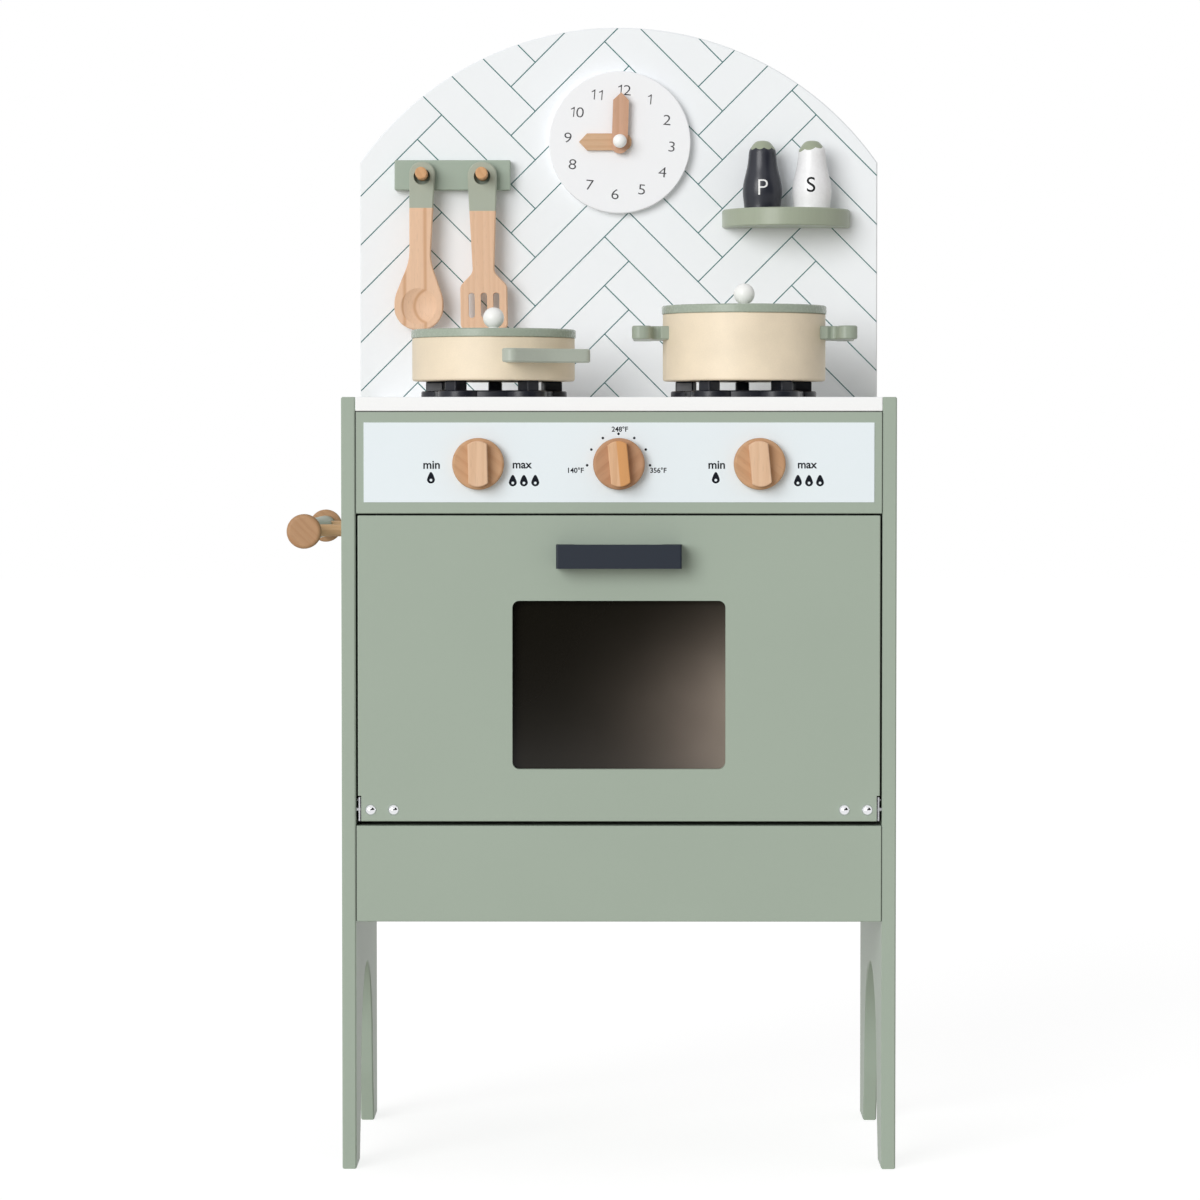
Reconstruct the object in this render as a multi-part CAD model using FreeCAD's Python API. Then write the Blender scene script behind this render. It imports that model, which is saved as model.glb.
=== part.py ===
import FreeCAD, Part
import math
import os

V = FreeCAD.Vector
RIGHT = V(1, 0, 0)
LEFT = V(-1, 0, 0)
BACK = V(0, 1, 0)
FRONT = V(0, -1, 0)
UP = V(0, 0, 1)

# All sizes are in millimetres and angles in degrees.
# While building, x runs right from the cabinet's middle, y back from its front and z up from the floor.

# Cabinet boards
CABINET_WIDTH = 430.0
CABINET_DEPTH = 288.0
WORKTOP_HEIGHT = 600.0
BOARD = 11.0
EASE = 1.0
FOOT_DEPTH = 44.0
ANKLE_DEPTH = 60.0
ANKLE_HEIGHT = 42.0
ANKLE_RADIUS = 60.0
ARCH_LEAN = 8.0
ARCH_RADIUS = 80.0
ARCH_STRAIGHT = 5.0
CONTROL_HEIGHT = 79.2
KICK_HEIGHT = 74.7
REAR_PANEL = 4.0

# Backsplash, measured from the worktop
BACK_WIDTH = 434.0
BACK_BOARD = 9.0
BACK_RISE = 312.6
BACK_DROP = 130.0
BACK_ARC_RADIUS = 265.0

# Fits: pins and screws in their holes, turning axles, and pieces that pass each other
FIT = 0.05
AXLE_PLAY = 0.08
PLAY = 0.3

# Countersunk screws
SCREW_RADIUS = 1.75
SCREW_HEAD_RADIUS = 3.5
SIDE_SCREW = 34.0
BACK_SCREW = 30.0
SIDE_SCREW_INSET = 60.0
BACK_SCREW_INSET = 35.0

# Control fascia and knobs
FASCIA_WIDTH = 395.0
FASCIA_HEIGHT = 61.7
FASCIA = 0.6
KNOB_SPACING = 108.7
KNOB_DROP = 1.1
KNOB_RADIUS = 20.0
KNOB_THICKNESS = 9.5
KNOB_ROUND = 2.0
GRIP_WIDTH = 15.0
GRIP_LENGTH = 35.4
GRIP_DEPTH = 9.6
GRIP_END = 2.8
GRIP_EASE = 1.0
GRIP_LEANS = {"left": 1.5, "middle": 5.5, "right": 5.5}
AXLE_RADIUS = 2.0
AXLE_DEPTH = 7.0
AXLE_HEAD_RADIUS = 4.5
AXLE_HEAD = 2.5
WASHER_RADIUS = 6.5
WASHER = 1.0

# Oven door, window and handle
DOOR_HEIGHT = 237.4
DOOR_SIDE_GAP = 1.6
DOOR_TOP_GAP = 1.4
DOOR_BOTTOM_GAP = 3.3
WINDOW_WIDTH = 165.2
WINDOW_ABOVE = 40.6
WINDOW_BELOW = 66.1
WINDOW_CORNER = 5.5
PANE = 3.0
PANE_LAP = 10.0
PANE_SCREW = 8.0
HANDLE_LENGTH = 96.8
HANDLE_HEIGHT = 18.5
HANDLE_PROUD = 22.0
HANDLE_BAR = 10.0
HANDLE_FOOT = 14.0
HANDLE_BELOW = 31.5
HANDLE_ROUND = 1.5
HANDLE_GAP_ROUND = 4.5
HANDLE_SCREW = 24.0

# Door hinges, stops and catch
PIVOT_ABOVE = 9.0
NOTCH_WIDTH = 2.5
NOTCH_HEIGHT = 20.0
EAR = 1.2
EAR_INSET = 0.5
EAR_RISE = 9.8
EAR_LIFT = 0.4
BRACKET_HALF_HEIGHT = 4.8
BRACKET_END = 6.0
BOLT_INSET = 9.8
BOLT_SPACING = 17.8
BOLT_RADIUS = 1.75
BOLT_HEAD_RADIUS = 4.5
BOLT_HEAD = 2.8
BOLT_END = 0.6
NUT_RADIUS = 3.8
NUT = 2.8
PIN_RADIUS = 1.6
PIN_EMBED = 7.0
PIN_PAST_EAR = 0.4
STOP_RADIUS = 1.25
STOP_CLEAR = 0.45
CATCH_WIDTH = 40.0
CATCH_DEPTH = 14.0
CATCH_RISE = 12.0
CATCH_DROP = 15.0
CATCH_PLATE = 1.2

# Burners
BURNER_SPACING = 202.0
BURNER_PLATE = 6.5
BURNER_DISC_RADIUS = 48.0
BURNER_LOBE_RADIUS = 18.0
BURNER_LOBE_AT = 43.0
BURNER_ROUND = 1.5
REST_COUNT = 5
REST_AT = 49.0
REST_LENGTH = 15.0
REST_WIDTH = 11.0
REST_HEIGHT = 7.8
REST_SINK = 2.0
REST_EASE = 1.2
BURNER_SCREW_HALF_SPACING = 25.0
BURNER_SCREW_BITE = 5.0

# Pan, pot and their lids
PAN_RADIUS = 65.5
PAN_HEIGHT = 34.6
POT_HEIGHT = 53.8
PAN_WALL = 5.0
PAN_BASE = 6.0
PAN_ROUND = 2.0
LID_OVERHANG = 0.8
LID = 6.8
LID_ROUND = 1.5
LID_PLUG = 4.0
LID_PLAY = 0.6
BALL_RADIUS = 8.5
BALL_ABOVE = 9.7
BALL_PEG_RADIUS = 4.0
BALL_PEG_DEPTH = 5.0

# Side handles of the pan and pot
GRAB_THICKNESS = 10.8
GRAB_BELOW_RIM = 15.3
GRAB_BASE_HALF = 25.4
GRAB_FOOT = 1.0
GRAB_THROAT_HALF = 20.0
GRAB_THROAT_AT = 7.0
GRAB_BAR_HALF = 39.0
GRAB_BAR = 15.0
GRAB_BAR_AT = 10.4
GRAB_DIP = 5.0
GRAB_EASE = 1.0
GRAB_LOBE_RADIUS = 6.6
GRAB_THROAT_RADIUS = 3.0
GRAB_FOOT_RADIUS = 1.5
PAN_GRAB_ANGLE = 32.0
POT_GRAB_ANGLE = 89.0

# Utensil rail, pegs, spoon and spatula
RAIL_X = -139.0
RAIL_ABOVE = 188.7
RAIL_WIDTH = 96.9
RAIL_HEIGHT = 25.0
RAIL = 12.0
RAIL_SCREW_INSET = 9.5
PEG_SPACING = 50.1
PEG_RADIUS = 5.0
PEG_PROUD = 30.0
PEG_EMBED = 8.0
PEG_ROUND = 1.0
UTENSIL = 9.0
UTENSIL_GAP = 0.5
UTENSIL_HANG = 0.1
UTENSIL_EASE = 0.9
UTENSIL_LENGTH = 140.2
HOLE_RADIUS = 6.9
HOLE_BELOW_TOP = 12.5
SPOON_TOP_HALF = 10.9
SPOON_NECK_HALF = 8.7
SPOON_NECK_BELOW = 82.5
SPOON_FLARE_RADIUS = 45.0
SPOON_BOWL_HALF = 20.35
SPOON_BOWL_BELOW = 113.6
SPOON_BOWL_RADIUS = 28.0
SPOON_DISH_RADIUS = 15.0
SPOON_DISH_DEPTH = 4.0
SPOON_DISH_BELOW = 120.5
SPOON_LEAN = 1.5
SPATULA_LEAN = -0.8
SPATULA_TOP_HALF = 12.7
SPATULA_NECK_HALF = 8.9
SPATULA_NECK_BELOW = 92.3
SPATULA_NECK_RADIUS = 8.0
SPATULA_BLADE_HALF = 19.6
SPATULA_BLADE_BELOW = 103.3
SPATULA_BLADE_RADIUS = 7.0
SPATULA_CORNER = 5.0
SLOT_WIDTH = 5.3
SLOT_LENGTH = 20.8
SLOT_SPACING = 10.3
SLOT_BELOW = 109.2
ROUND_END = 0.92

# Clock
CLOCK_X = 0.9
CLOCK_ABOVE = 216.3
CLOCK_RADIUS = 59.3
CLOCK = 9.0
CLOCK_ROUND = 1.0
CLOCK_SCREW_HALF_SPACING = 30.0
CLOCK_SCREW_BITE = 6.0
HAND = 3.6
HAND_TAIL = 9.8
HAND_POINT = 6.6
MINUTE_LENGTH = 41.0
MINUTE_WIDTH = 13.3
MINUTE_LEAN = 1.8
HOUR_LENGTH = 34.0
HOUR_WIDTH = 14.0
CLOCK_PIN_RADIUS = 2.0
CLOCK_PIN_EMBED = 6.0
CLOCK_BALL_RADIUS = 5.75

# Spice shelf and shakers
SHELF_X = 140.4
SHELF_ABOVE = 159.9
SHELF_RADIUS = 53.6
SHELF = 15.0
SHELF_SCREW_HALF_SPACING = 30.0
SHAKER_SPACING = 41.2
SHAKER_FORWARD = 22.0
SHAKER_HEIGHT = 56.6
SHAKER_RADIUS = 16.4
SHAKER_FORM = (
    (0.93, 0.0), (1.0, 0.23), (0.94, 0.41), (0.79, 0.59),
    (0.705, 0.78), (0.66, 0.86), (0.44, 0.955), (0.0, 1.0),
)

# Towel rail on the left side
TOWEL_REACH = 30.0
TOWEL_BELOW = 104.3
TOWEL_LENGTH = 262.0
TOWEL_BAR_RADIUS = 8.5
TOWEL_DISC_RADIUS = 13.5
TOWEL_DISC = 8.0
TOWEL_DISC_ROUND = 3.0
TOWEL_TENON_RADIUS = 4.0
TOWEL_TENON = 5.0
POST_RADIUS = 4.8
POST_SPACING = 164.0
POST_EMBED = 8.0

# Levels and faces that the pieces share
half_width = CABINET_WIDTH / 2
inner = half_width - BOARD
middle_y = CABINET_DEPTH / 2
worktop_under = WORKTOP_HEIGHT - BOARD
control_bottom = worktop_under - CONTROL_HEIGHT
door_top = control_bottom - DOOR_TOP_GAP
door_bottom = door_top - DOOR_HEIGHT
floor_top = door_bottom - DOOR_BOTTOM_GAP
floor_under = floor_top - BOARD
kick_bottom = floor_top - KICK_HEIGHT
back_bottom = WORKTOP_HEIGHT - BACK_DROP
back_face = CABINET_DEPTH
back_rear = CABINET_DEPTH + BACK_BOARD
rear_panel_rear = CABINET_DEPTH + REAR_PANEL


def at_x(x):
    return lambda u, v: V(x, u, v)


def at_y(y):
    return lambda u, v: V(u, y, v)


def at_z(z):
    return lambda u, v: V(u, v, z)


def box(low, high):
    return Part.makeBox(high[0] - low[0], high[1] - low[1], high[2] - low[2], V(*low))


def eased(solid, size):
    return solid.makeFillet(size, solid.Edges)


def rimmed(solid, along, size):
    """Slab with the edges of its two flat faces eased."""
    rims = []
    for edge in solid.Edges:
        span = edge.lastVertex().Point - edge.firstVertex().Point
        if abs(span.dot(along)) < FIT:
            rims.append(edge)
    return solid.makeChamfer(size, rims)


def board(low, high):
    return eased(box(low, high), EASE)


def outline(corners, place):
    """Closed wire through (u, v, radius) corners, each rounded by its radius."""
    turns = []
    for index, (u, v, radius) in enumerate(corners):
        here = V(u, v, 0)
        last = corners[index - 1]
        following = corners[(index + 1) % len(corners)]
        before = V(last[0], last[1], 0) - here
        after = V(following[0], following[1], 0) - here
        before.normalize()
        after.normalize()
        half = before.getAngle(after) / 2
        reach = radius / math.tan(half)
        crown = None
        if radius > 0:
            inward = before + after
            inward.normalize()
            crown = here + inward * (radius / math.sin(half) - radius)
        turns.append((here + before * reach, crown, here + after * reach))
    edges = []
    for index, (start, crown, end) in enumerate(turns):
        last_end = turns[index - 1][2]
        edges.append(Part.makeLine(place(last_end.x, last_end.y), place(start.x, start.y)))
        if crown is not None:
            bend = [place(point.x, point.y) for point in (start, crown, end)]
            edges.append(Part.Arc(*bend).toShape())
    return Part.Wire(edges)


def mirrored(right_side):
    """Corners of an outline that is the same on both sides of u = 0, from its right side, top first."""
    return right_side + [(-u, v, radius) for u, v, radius in reversed(right_side)]


def slab(corners, place, along):
    return Part.Face(outline(corners, place)).extrude(along)


def spun(face, base, along):
    solid = face.revolve(V(0, 0, 0), UP, 360)
    solid.Placement = FreeCAD.Placement(base, FreeCAD.Rotation(UP, along))
    return solid


def turned(corners, base, along):
    """Turned solid from (radius, height, rounding) corners that start and end on the axis."""
    return spun(Part.Face(outline(corners, at_y(0))), base, along)


def rod(start, end, radius):
    return Part.makeCylinder(radius, start.distanceToPoint(end), start, end - start)


def screw(head, along, length, spare=0.0):
    """Countersunk screw with its head flush at a point; with spare room, the hole that it goes in."""
    wide = SCREW_HEAD_RADIUS + spare
    thin = SCREW_RADIUS + spare
    end = length + spare
    profile = [(0, 0, 0), (wide, 0, 0), (thin, wide - thin, 0), (thin, end, 0), (0, end, 0)]
    return turned(profile, head, along)


def cut_all(solid, tools):
    return solid.cut(Part.makeCompound(tools))


pieces = {}

# Screws that hold the side panels to the boards between them
side_screw_spots = []
for depth in (SIDE_SCREW_INSET, CABINET_DEPTH - SIDE_SCREW_INSET):
    side_screw_spots.append((depth, worktop_under + BOARD / 2))
    side_screw_spots.append((depth, floor_under + BOARD / 2))
side_screw_spots.append((BOARD / 2, control_bottom + CONTROL_HEIGHT / 2))
side_screw_spots.append((BOARD / 2, kick_bottom + KICK_HEIGHT / 2))
side_screws = []
side_holes = []
for x, along in ((-half_width, RIGHT), (half_width, LEFT)):
    for y, z in side_screw_spots:
        side_screws.append(screw(V(x, y, z), along, SIDE_SCREW))
        side_holes.append(screw(V(x, y, z), along, SIDE_SCREW, FIT))
pieces["side_panel_screws"] = Part.makeCompound(side_screws)

# Screws through the backsplash and rear panel into the side panels
back_screws = []
back_holes = []
for x in (-half_width + BOARD / 2, half_width - BOARD / 2):
    heads = [
        V(x, back_rear, WORKTOP_HEIGHT - BACK_SCREW_INSET), V(x, back_rear, back_bottom + BACK_SCREW_INSET),
        V(x, rear_panel_rear, back_bottom - BACK_SCREW_INSET),
        V(x, rear_panel_rear, floor_top + BACK_SCREW_INSET),
    ]
    for head in heads:
        back_screws.append(screw(head, FRONT, BACK_SCREW))
        back_holes.append(screw(head, FRONT, BACK_SCREW, FIT))

# Screws through the backsplash into the utensil rail, clock and spice shelf
rail_z = WORKTOP_HEIGHT + RAIL_ABOVE
clock_z = WORKTOP_HEIGHT + CLOCK_ABOVE
shelf_top = WORKTOP_HEIGHT + SHELF_ABOVE
fixings = []
rail_screw_half = RAIL_WIDTH / 2 - RAIL_SCREW_INSET
for side in (-1, 1):
    rail_head = V(RAIL_X + side * rail_screw_half, back_rear, rail_z)
    clock_head = V(CLOCK_X + side * CLOCK_SCREW_HALF_SPACING, back_rear, clock_z)
    shelf_head = V(SHELF_X + side * SHELF_SCREW_HALF_SPACING, back_rear, shelf_top - SHELF / 2)
    fixings.append((rail_head, BACK_BOARD + PEG_EMBED))
    fixings.append((clock_head, BACK_BOARD + CLOCK_SCREW_BITE))
    fixings.append((shelf_head, BACK_SCREW))
for head, length in fixings:
    back_screws.append(screw(head, FRONT, length))
    back_holes.append(screw(head, FRONT, length, FIT))
pieces["back_screws"] = Part.makeCompound(back_screws)

# Towel rail: two posts stand out of the left side panel and carry the bar and its end discs
towel_x = -half_width - TOWEL_REACH
towel_z = WORKTOP_HEIGHT - TOWEL_BELOW
towel_front = middle_y - TOWEL_LENGTH / 2
towel_rear = middle_y + TOWEL_LENGTH / 2
posts = []
post_holes = []
for y in (middle_y - POST_SPACING / 2, middle_y + POST_SPACING / 2):
    end_in_panel = V(-half_width + POST_EMBED, y, towel_z)
    end_in_bar = V(towel_x, y, towel_z)
    posts.append(rod(end_in_panel, end_in_bar, POST_RADIUS))
    post_holes.append(rod(end_in_panel + RIGHT * FIT, end_in_bar + LEFT * FIT, POST_RADIUS + FIT))
pieces["towel_rail_posts"] = Part.makeCompound(posts)
bar_length = TOWEL_LENGTH - 2 * TOWEL_DISC
bar_profile = [
    (0, -TOWEL_TENON, 0), (TOWEL_TENON_RADIUS, -TOWEL_TENON, 0), (TOWEL_TENON_RADIUS, 0, 0),
    (TOWEL_BAR_RADIUS, 0, 0), (TOWEL_BAR_RADIUS, bar_length, 0), (TOWEL_TENON_RADIUS, bar_length, 0),
    (TOWEL_TENON_RADIUS, bar_length + TOWEL_TENON, 0), (0, bar_length + TOWEL_TENON, 0),
]
towel_bar = turned(bar_profile, V(towel_x, towel_front + TOWEL_DISC, towel_z), BACK)
pieces["towel_rail_bar"] = cut_all(towel_bar, post_holes)
disc_profile = [
    (0, 0, 0), (TOWEL_DISC_RADIUS, 0, TOWEL_DISC_ROUND),
    (TOWEL_DISC_RADIUS, TOWEL_DISC, TOWEL_DISC_ROUND / 2), (TOWEL_TENON_RADIUS + FIT, TOWEL_DISC, 0),
    (TOWEL_TENON_RADIUS + FIT, TOWEL_DISC - TOWEL_TENON - FIT, 0), (0, TOWEL_DISC - TOWEL_TENON - FIT, 0),
]
front_disc = turned(disc_profile, V(towel_x, towel_front, towel_z), BACK)
rear_disc = turned(disc_profile, V(towel_x, towel_rear, towel_z), FRONT)
pieces["towel_rail_discs"] = Part.makeCompound([front_disc, rear_disc])

# Hinge pins that the door turns on, and stop pins that hold it level when open
pivot_y = BOARD / 2
pivot_z = door_bottom + PIVOT_ABOVE
door_half = inner - DOOR_SIDE_GAP
ear_outer = door_half - EAR_INSET
ear_inner = ear_outer - EAR
pin_end = ear_inner - PIN_PAST_EAR
stop_y = pivot_y + BOARD / 2 + STOP_CLEAR + STOP_RADIUS
stop_z = pivot_z + BOARD / 2 + FIT + STOP_RADIUS
hinge_pins = []
stop_pins = []
pin_holes = []
for side in (-1, 1):
    deep = side * (inner + PIN_EMBED)
    hinge_pins.append(rod(V(deep, pivot_y, pivot_z), V(side * pin_end, pivot_y, pivot_z), PIN_RADIUS))
    stop_pins.append(rod(V(deep, stop_y, stop_z), V(side * pin_end, stop_y, stop_z), STOP_RADIUS))
    deeper = deep + side * FIT
    pin_holes.append(rod(V(deeper, pivot_y, pivot_z), V(side * inner, pivot_y, pivot_z), PIN_RADIUS + FIT))
    pin_holes.append(rod(V(deeper, stop_y, stop_z), V(side * inner, stop_y, stop_z), STOP_RADIUS + FIT))
pieces["hinge_pins"] = Part.makeCompound(hinge_pins)
pieces["door_stop_pins"] = Part.makeCompound(stop_pins)

# Side panels, each with an arch that leaves two feet
arch_lean = math.radians(ARCH_LEAN)
arch_corner = ANKLE_HEIGHT + (middle_y - ANKLE_DEPTH) / math.tan(arch_lean)
ankle_turn = math.atan2(ANKLE_DEPTH - FOOT_DEPTH, ANKLE_HEIGHT) - arch_lean
ankle_run = ANKLE_RADIUS * math.tan(abs(ankle_turn) / 2)
arch_side = (middle_y - ANKLE_DEPTH) / math.sin(arch_lean)
arch_room = (arch_side - ankle_run - ARCH_STRAIGHT) * math.tan(arch_lean)
arch_round = min(ARCH_RADIUS, arch_room)
side_corners = [
    (0, 0, 0), (0, WORKTOP_HEIGHT, 0), (CABINET_DEPTH, WORKTOP_HEIGHT, 0), (CABINET_DEPTH, 0, 0),
    (CABINET_DEPTH - FOOT_DEPTH, 0, 0), (CABINET_DEPTH - ANKLE_DEPTH, ANKLE_HEIGHT, ANKLE_RADIUS),
    (middle_y, arch_corner, arch_round), (ANKLE_DEPTH, ANKLE_HEIGHT, ANKLE_RADIUS), (FOOT_DEPTH, 0, 0),
]
for name, x in (("left_side_panel", -half_width), ("right_side_panel", inner)):
    panel = rimmed(slab(side_corners, at_x(x), RIGHT * BOARD), RIGHT, EASE)
    pieces[name] = cut_all(panel, side_holes + back_holes + post_holes + pin_holes)

# Burners: one moulding each, a plate with five lobes and five rests, screwed from under the worktop
burner_screws = []
burner_holes = []
rest_top = WORKTOP_HEIGHT + BURNER_PLATE + REST_HEIGHT
for name, x in (("left_burner", -BURNER_SPACING / 2), ("right_burner", BURNER_SPACING / 2)):
    plate_profile = [(0, 0, 0), (BURNER_DISC_RADIUS, 0, 0), (BURNER_DISC_RADIUS, BURNER_PLATE, BURNER_ROUND)]
    plate = turned(plate_profile + [(0, BURNER_PLATE, 0)], V(x, middle_y, WORKTOP_HEIGHT), UP)
    lobe_profile = [(0, 0, 0), (BURNER_LOBE_RADIUS, 0, 0), (BURNER_LOBE_RADIUS, BURNER_PLATE, BURNER_ROUND)]
    lobe_profile.append((0, BURNER_PLATE, 0))
    lobes = []
    rests = []
    for index in range(REST_COUNT):
        turn = 360.0 * index / REST_COUNT
        lobe = turned(lobe_profile, V(x, middle_y + BURNER_LOBE_AT, WORKTOP_HEIGHT), UP)
        lobe.rotate(V(x, middle_y, 0), UP, turn)
        lobes.append(lobe)
        rest_low = (x - REST_WIDTH / 2, middle_y + REST_AT - REST_LENGTH / 2, WORKTOP_HEIGHT + REST_SINK)
        rest_high = (x + REST_WIDTH / 2, middle_y + REST_AT + REST_LENGTH / 2, rest_top)
        rest = eased(box(rest_low, rest_high), REST_EASE)
        rest.rotate(V(x, middle_y, 0), UP, turn)
        rests.append(rest)
    burner = plate.multiFuse(lobes).removeSplitter()
    burner = burner.multiFuse(rests).removeSplitter()
    holes = []
    for side in (-1, 1):
        head = V(x + side * BURNER_SCREW_HALF_SPACING, middle_y, worktop_under)
        burner_screws.append(screw(head, UP, BOARD + BURNER_SCREW_BITE))
        holes.append(screw(head, UP, BOARD + BURNER_SCREW_BITE, FIT))
    burner_holes += holes
    pieces[name] = cut_all(burner, holes)
pieces["burner_screws"] = Part.makeCompound(burner_screws)

# Boards between the side panels
worktop = board((-inner, 0, worktop_under), (inner, CABINET_DEPTH, WORKTOP_HEIGHT))
pieces["worktop"] = cut_all(worktop, side_holes + burner_holes)
kick_panel = board((-inner, 0, kick_bottom), (inner, BOARD, floor_top))
pieces["kick_panel"] = cut_all(kick_panel, side_holes)
oven_floor = board((-inner, BOARD, floor_under), (inner, CABINET_DEPTH, floor_top))
pieces["oven_floor"] = cut_all(oven_floor, side_holes)
rear_panel = box((-half_width, back_face, floor_under), (half_width, rear_panel_rear, back_bottom))
pieces["rear_panel"] = cut_all(rear_panel, back_holes)

# Backsplash with an arched top
back_half = BACK_WIDTH / 2
back_top = WORKTOP_HEIGHT + BACK_RISE
arc_end = back_top - BACK_ARC_RADIUS + math.sqrt(BACK_ARC_RADIUS ** 2 - back_half ** 2)
left_foot = V(-back_half, back_face, back_bottom)
right_foot = V(back_half, back_face, back_bottom)
left_end = V(-back_half, back_face, arc_end)
right_end = V(back_half, back_face, arc_end)
back_edges = [
    Part.makeLine(left_foot, right_foot), Part.makeLine(right_foot, right_end),
    Part.Arc(right_end, V(0, back_face, back_top), left_end).toShape(), Part.makeLine(left_end, left_foot),
]
backsplash = rimmed(Part.Face(Part.Wire(back_edges)).extrude(BACK * BACK_BOARD), BACK, EASE)

# Clock: dial, two hands on one pin, and the pin's ball head
hour_back = back_face - CLOCK - PLAY
minute_back = hour_back - HAND - PLAY
ball_back = minute_back - HAND - PLAY
pin_top = V(CLOCK_X, ball_back, clock_z)
pin_hole = rod(V(CLOCK_X, back_face + CLOCK_PIN_EMBED, clock_z), pin_top, CLOCK_PIN_RADIUS + FIT)
hand_hole = rod(V(CLOCK_X, back_face, clock_z), pin_top, CLOCK_PIN_RADIUS + AXLE_PLAY)
dial_profile = [(0, 0, 0), (CLOCK_RADIUS, 0, 0), (CLOCK_RADIUS, CLOCK, CLOCK_ROUND), (0, CLOCK, 0)]
dial = turned(dial_profile, V(CLOCK_X, back_face, clock_z), FRONT)
pieces["clock_dial"] = cut_all(dial, back_holes + [pin_hole])
ball_centre = V(CLOCK_X, ball_back - CLOCK_BALL_RADIUS, clock_z)
ball = Part.makeSphere(CLOCK_BALL_RADIUS, ball_centre)
pin_deep = V(CLOCK_X, back_face + CLOCK_PIN_EMBED - FIT, clock_z)
pieces["clock_pin"] = ball.fuse(rod(pin_deep, ball_centre, CLOCK_PIN_RADIUS)).removeSplitter()


def clock_hand(width, length, back, turn):
    """Hand with a round tail and a pointed tip, turned clockwise from upright as seen from the front."""
    tail_round = width / 2 * ROUND_END
    corners = mirrored([(width / 2, length - HAND_POINT, 0), (width / 2, -HAND_TAIL, tail_round)])
    corners.append((0, length, 0))
    hand = slab(corners, at_y(0), FRONT * HAND)
    hand.rotate(V(0, 0, 0), BACK, turn)
    hand.translate(V(CLOCK_X, back, clock_z))
    return hand.cut(hand_hole)


pieces["hour_hand"] = clock_hand(HOUR_WIDTH, HOUR_LENGTH, hour_back, -90)
pieces["minute_hand"] = clock_hand(MINUTE_WIDTH, MINUTE_LENGTH, minute_back, MINUTE_LEAN)
pieces["backsplash"] = cut_all(backsplash, back_holes + [pin_hole])

# Utensil rail with its two pegs
rail_front = back_face - RAIL
rail_low = (RAIL_X - RAIL_WIDTH / 2, rail_front, rail_z - RAIL_HEIGHT / 2)
rail_high = (RAIL_X + RAIL_WIDTH / 2, back_face, rail_z + RAIL_HEIGHT / 2)
pegs = []
peg_holes = []
peg_profile = [(0, 0, 0), (PEG_RADIUS, 0, 0), (PEG_RADIUS, PEG_EMBED + PEG_PROUD, PEG_ROUND)]
peg_profile.append((0, PEG_EMBED + PEG_PROUD, 0))
spoon_x = RAIL_X - PEG_SPACING / 2
spatula_x = RAIL_X + PEG_SPACING / 2
for x in (spoon_x, spatula_x):
    foot = V(x, rail_front + PEG_EMBED, rail_z)
    pegs.append(turned(peg_profile, foot, FRONT))
    peg_holes.append(rod(foot + BACK * FIT, V(x, rail_front, rail_z), PEG_RADIUS + FIT))
pieces["utensil_pegs"] = Part.makeCompound(pegs)
pieces["utensil_rail"] = cut_all(board(rail_low, rail_high), back_holes + peg_holes)

# Spoon and spatula, hanging by their holes with the top of the hole on the peg
utensil_front = rail_front - UTENSIL_GAP - UTENSIL
hole_z = rail_z - HOLE_RADIUS + PEG_RADIUS + UTENSIL_HANG
utensil_top = hole_z + HOLE_BELOW_TOP
utensil_end = utensil_top - UTENSIL_LENGTH
spoon_side = [
    (SPOON_TOP_HALF, utensil_top, SPOON_TOP_HALF * ROUND_END),
    (SPOON_NECK_HALF, utensil_top - SPOON_NECK_BELOW, SPOON_FLARE_RADIUS),
    (SPOON_BOWL_HALF, utensil_top - SPOON_BOWL_BELOW, SPOON_BOWL_RADIUS),
    (SPOON_BOWL_HALF, utensil_end, SPOON_BOWL_HALF * ROUND_END),
]
spoon = rimmed(slab(mirrored(spoon_side), at_y(utensil_front), BACK * UTENSIL), BACK, UTENSIL_EASE)
hang_hole = rod(V(0, utensil_front, hole_z), V(0, utensil_front + UTENSIL, hole_z), HOLE_RADIUS)
dish_sphere = (SPOON_DISH_RADIUS ** 2 + SPOON_DISH_DEPTH ** 2) / (2 * SPOON_DISH_DEPTH)
dish_y = utensil_front + SPOON_DISH_DEPTH - dish_sphere
dish = Part.makeSphere(dish_sphere, V(0, dish_y, utensil_top - SPOON_DISH_BELOW))
spoon = cut_all(spoon, [hang_hole, dish])
spoon.rotate(V(0, 0, rail_z), BACK, SPOON_LEAN)
spoon.translate(V(spoon_x, 0, 0))
pieces["spoon"] = spoon
spatula_side = [
    (SPATULA_TOP_HALF, utensil_top, SPATULA_TOP_HALF * ROUND_END),
    (SPATULA_NECK_HALF, utensil_top - SPATULA_NECK_BELOW, SPATULA_NECK_RADIUS),
    (SPATULA_BLADE_HALF, utensil_top - SPATULA_BLADE_BELOW, SPATULA_BLADE_RADIUS),
    (SPATULA_BLADE_HALF, utensil_end, SPATULA_CORNER),
]
spatula = rimmed(slab(mirrored(spatula_side), at_y(utensil_front), BACK * UTENSIL), BACK, UTENSIL_EASE)
slots = [hang_hole]
slot_top = utensil_top - SLOT_BELOW
slot_round = SLOT_WIDTH / 2 * ROUND_END
for x in (-SLOT_SPACING, 0, SLOT_SPACING):
    slot_side = [(SLOT_WIDTH / 2, slot_top, slot_round), (SLOT_WIDTH / 2, slot_top - SLOT_LENGTH, slot_round)]
    slot = slab(mirrored(slot_side), at_y(utensil_front), BACK * UTENSIL)
    slot.translate(V(x, 0, 0))
    slots.append(slot)
spatula = cut_all(spatula, slots)
spatula.rotate(V(0, 0, rail_z), BACK, SPATULA_LEAN)
spatula.translate(V(spatula_x, 0, 0))
pieces["spatula"] = spatula

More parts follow.
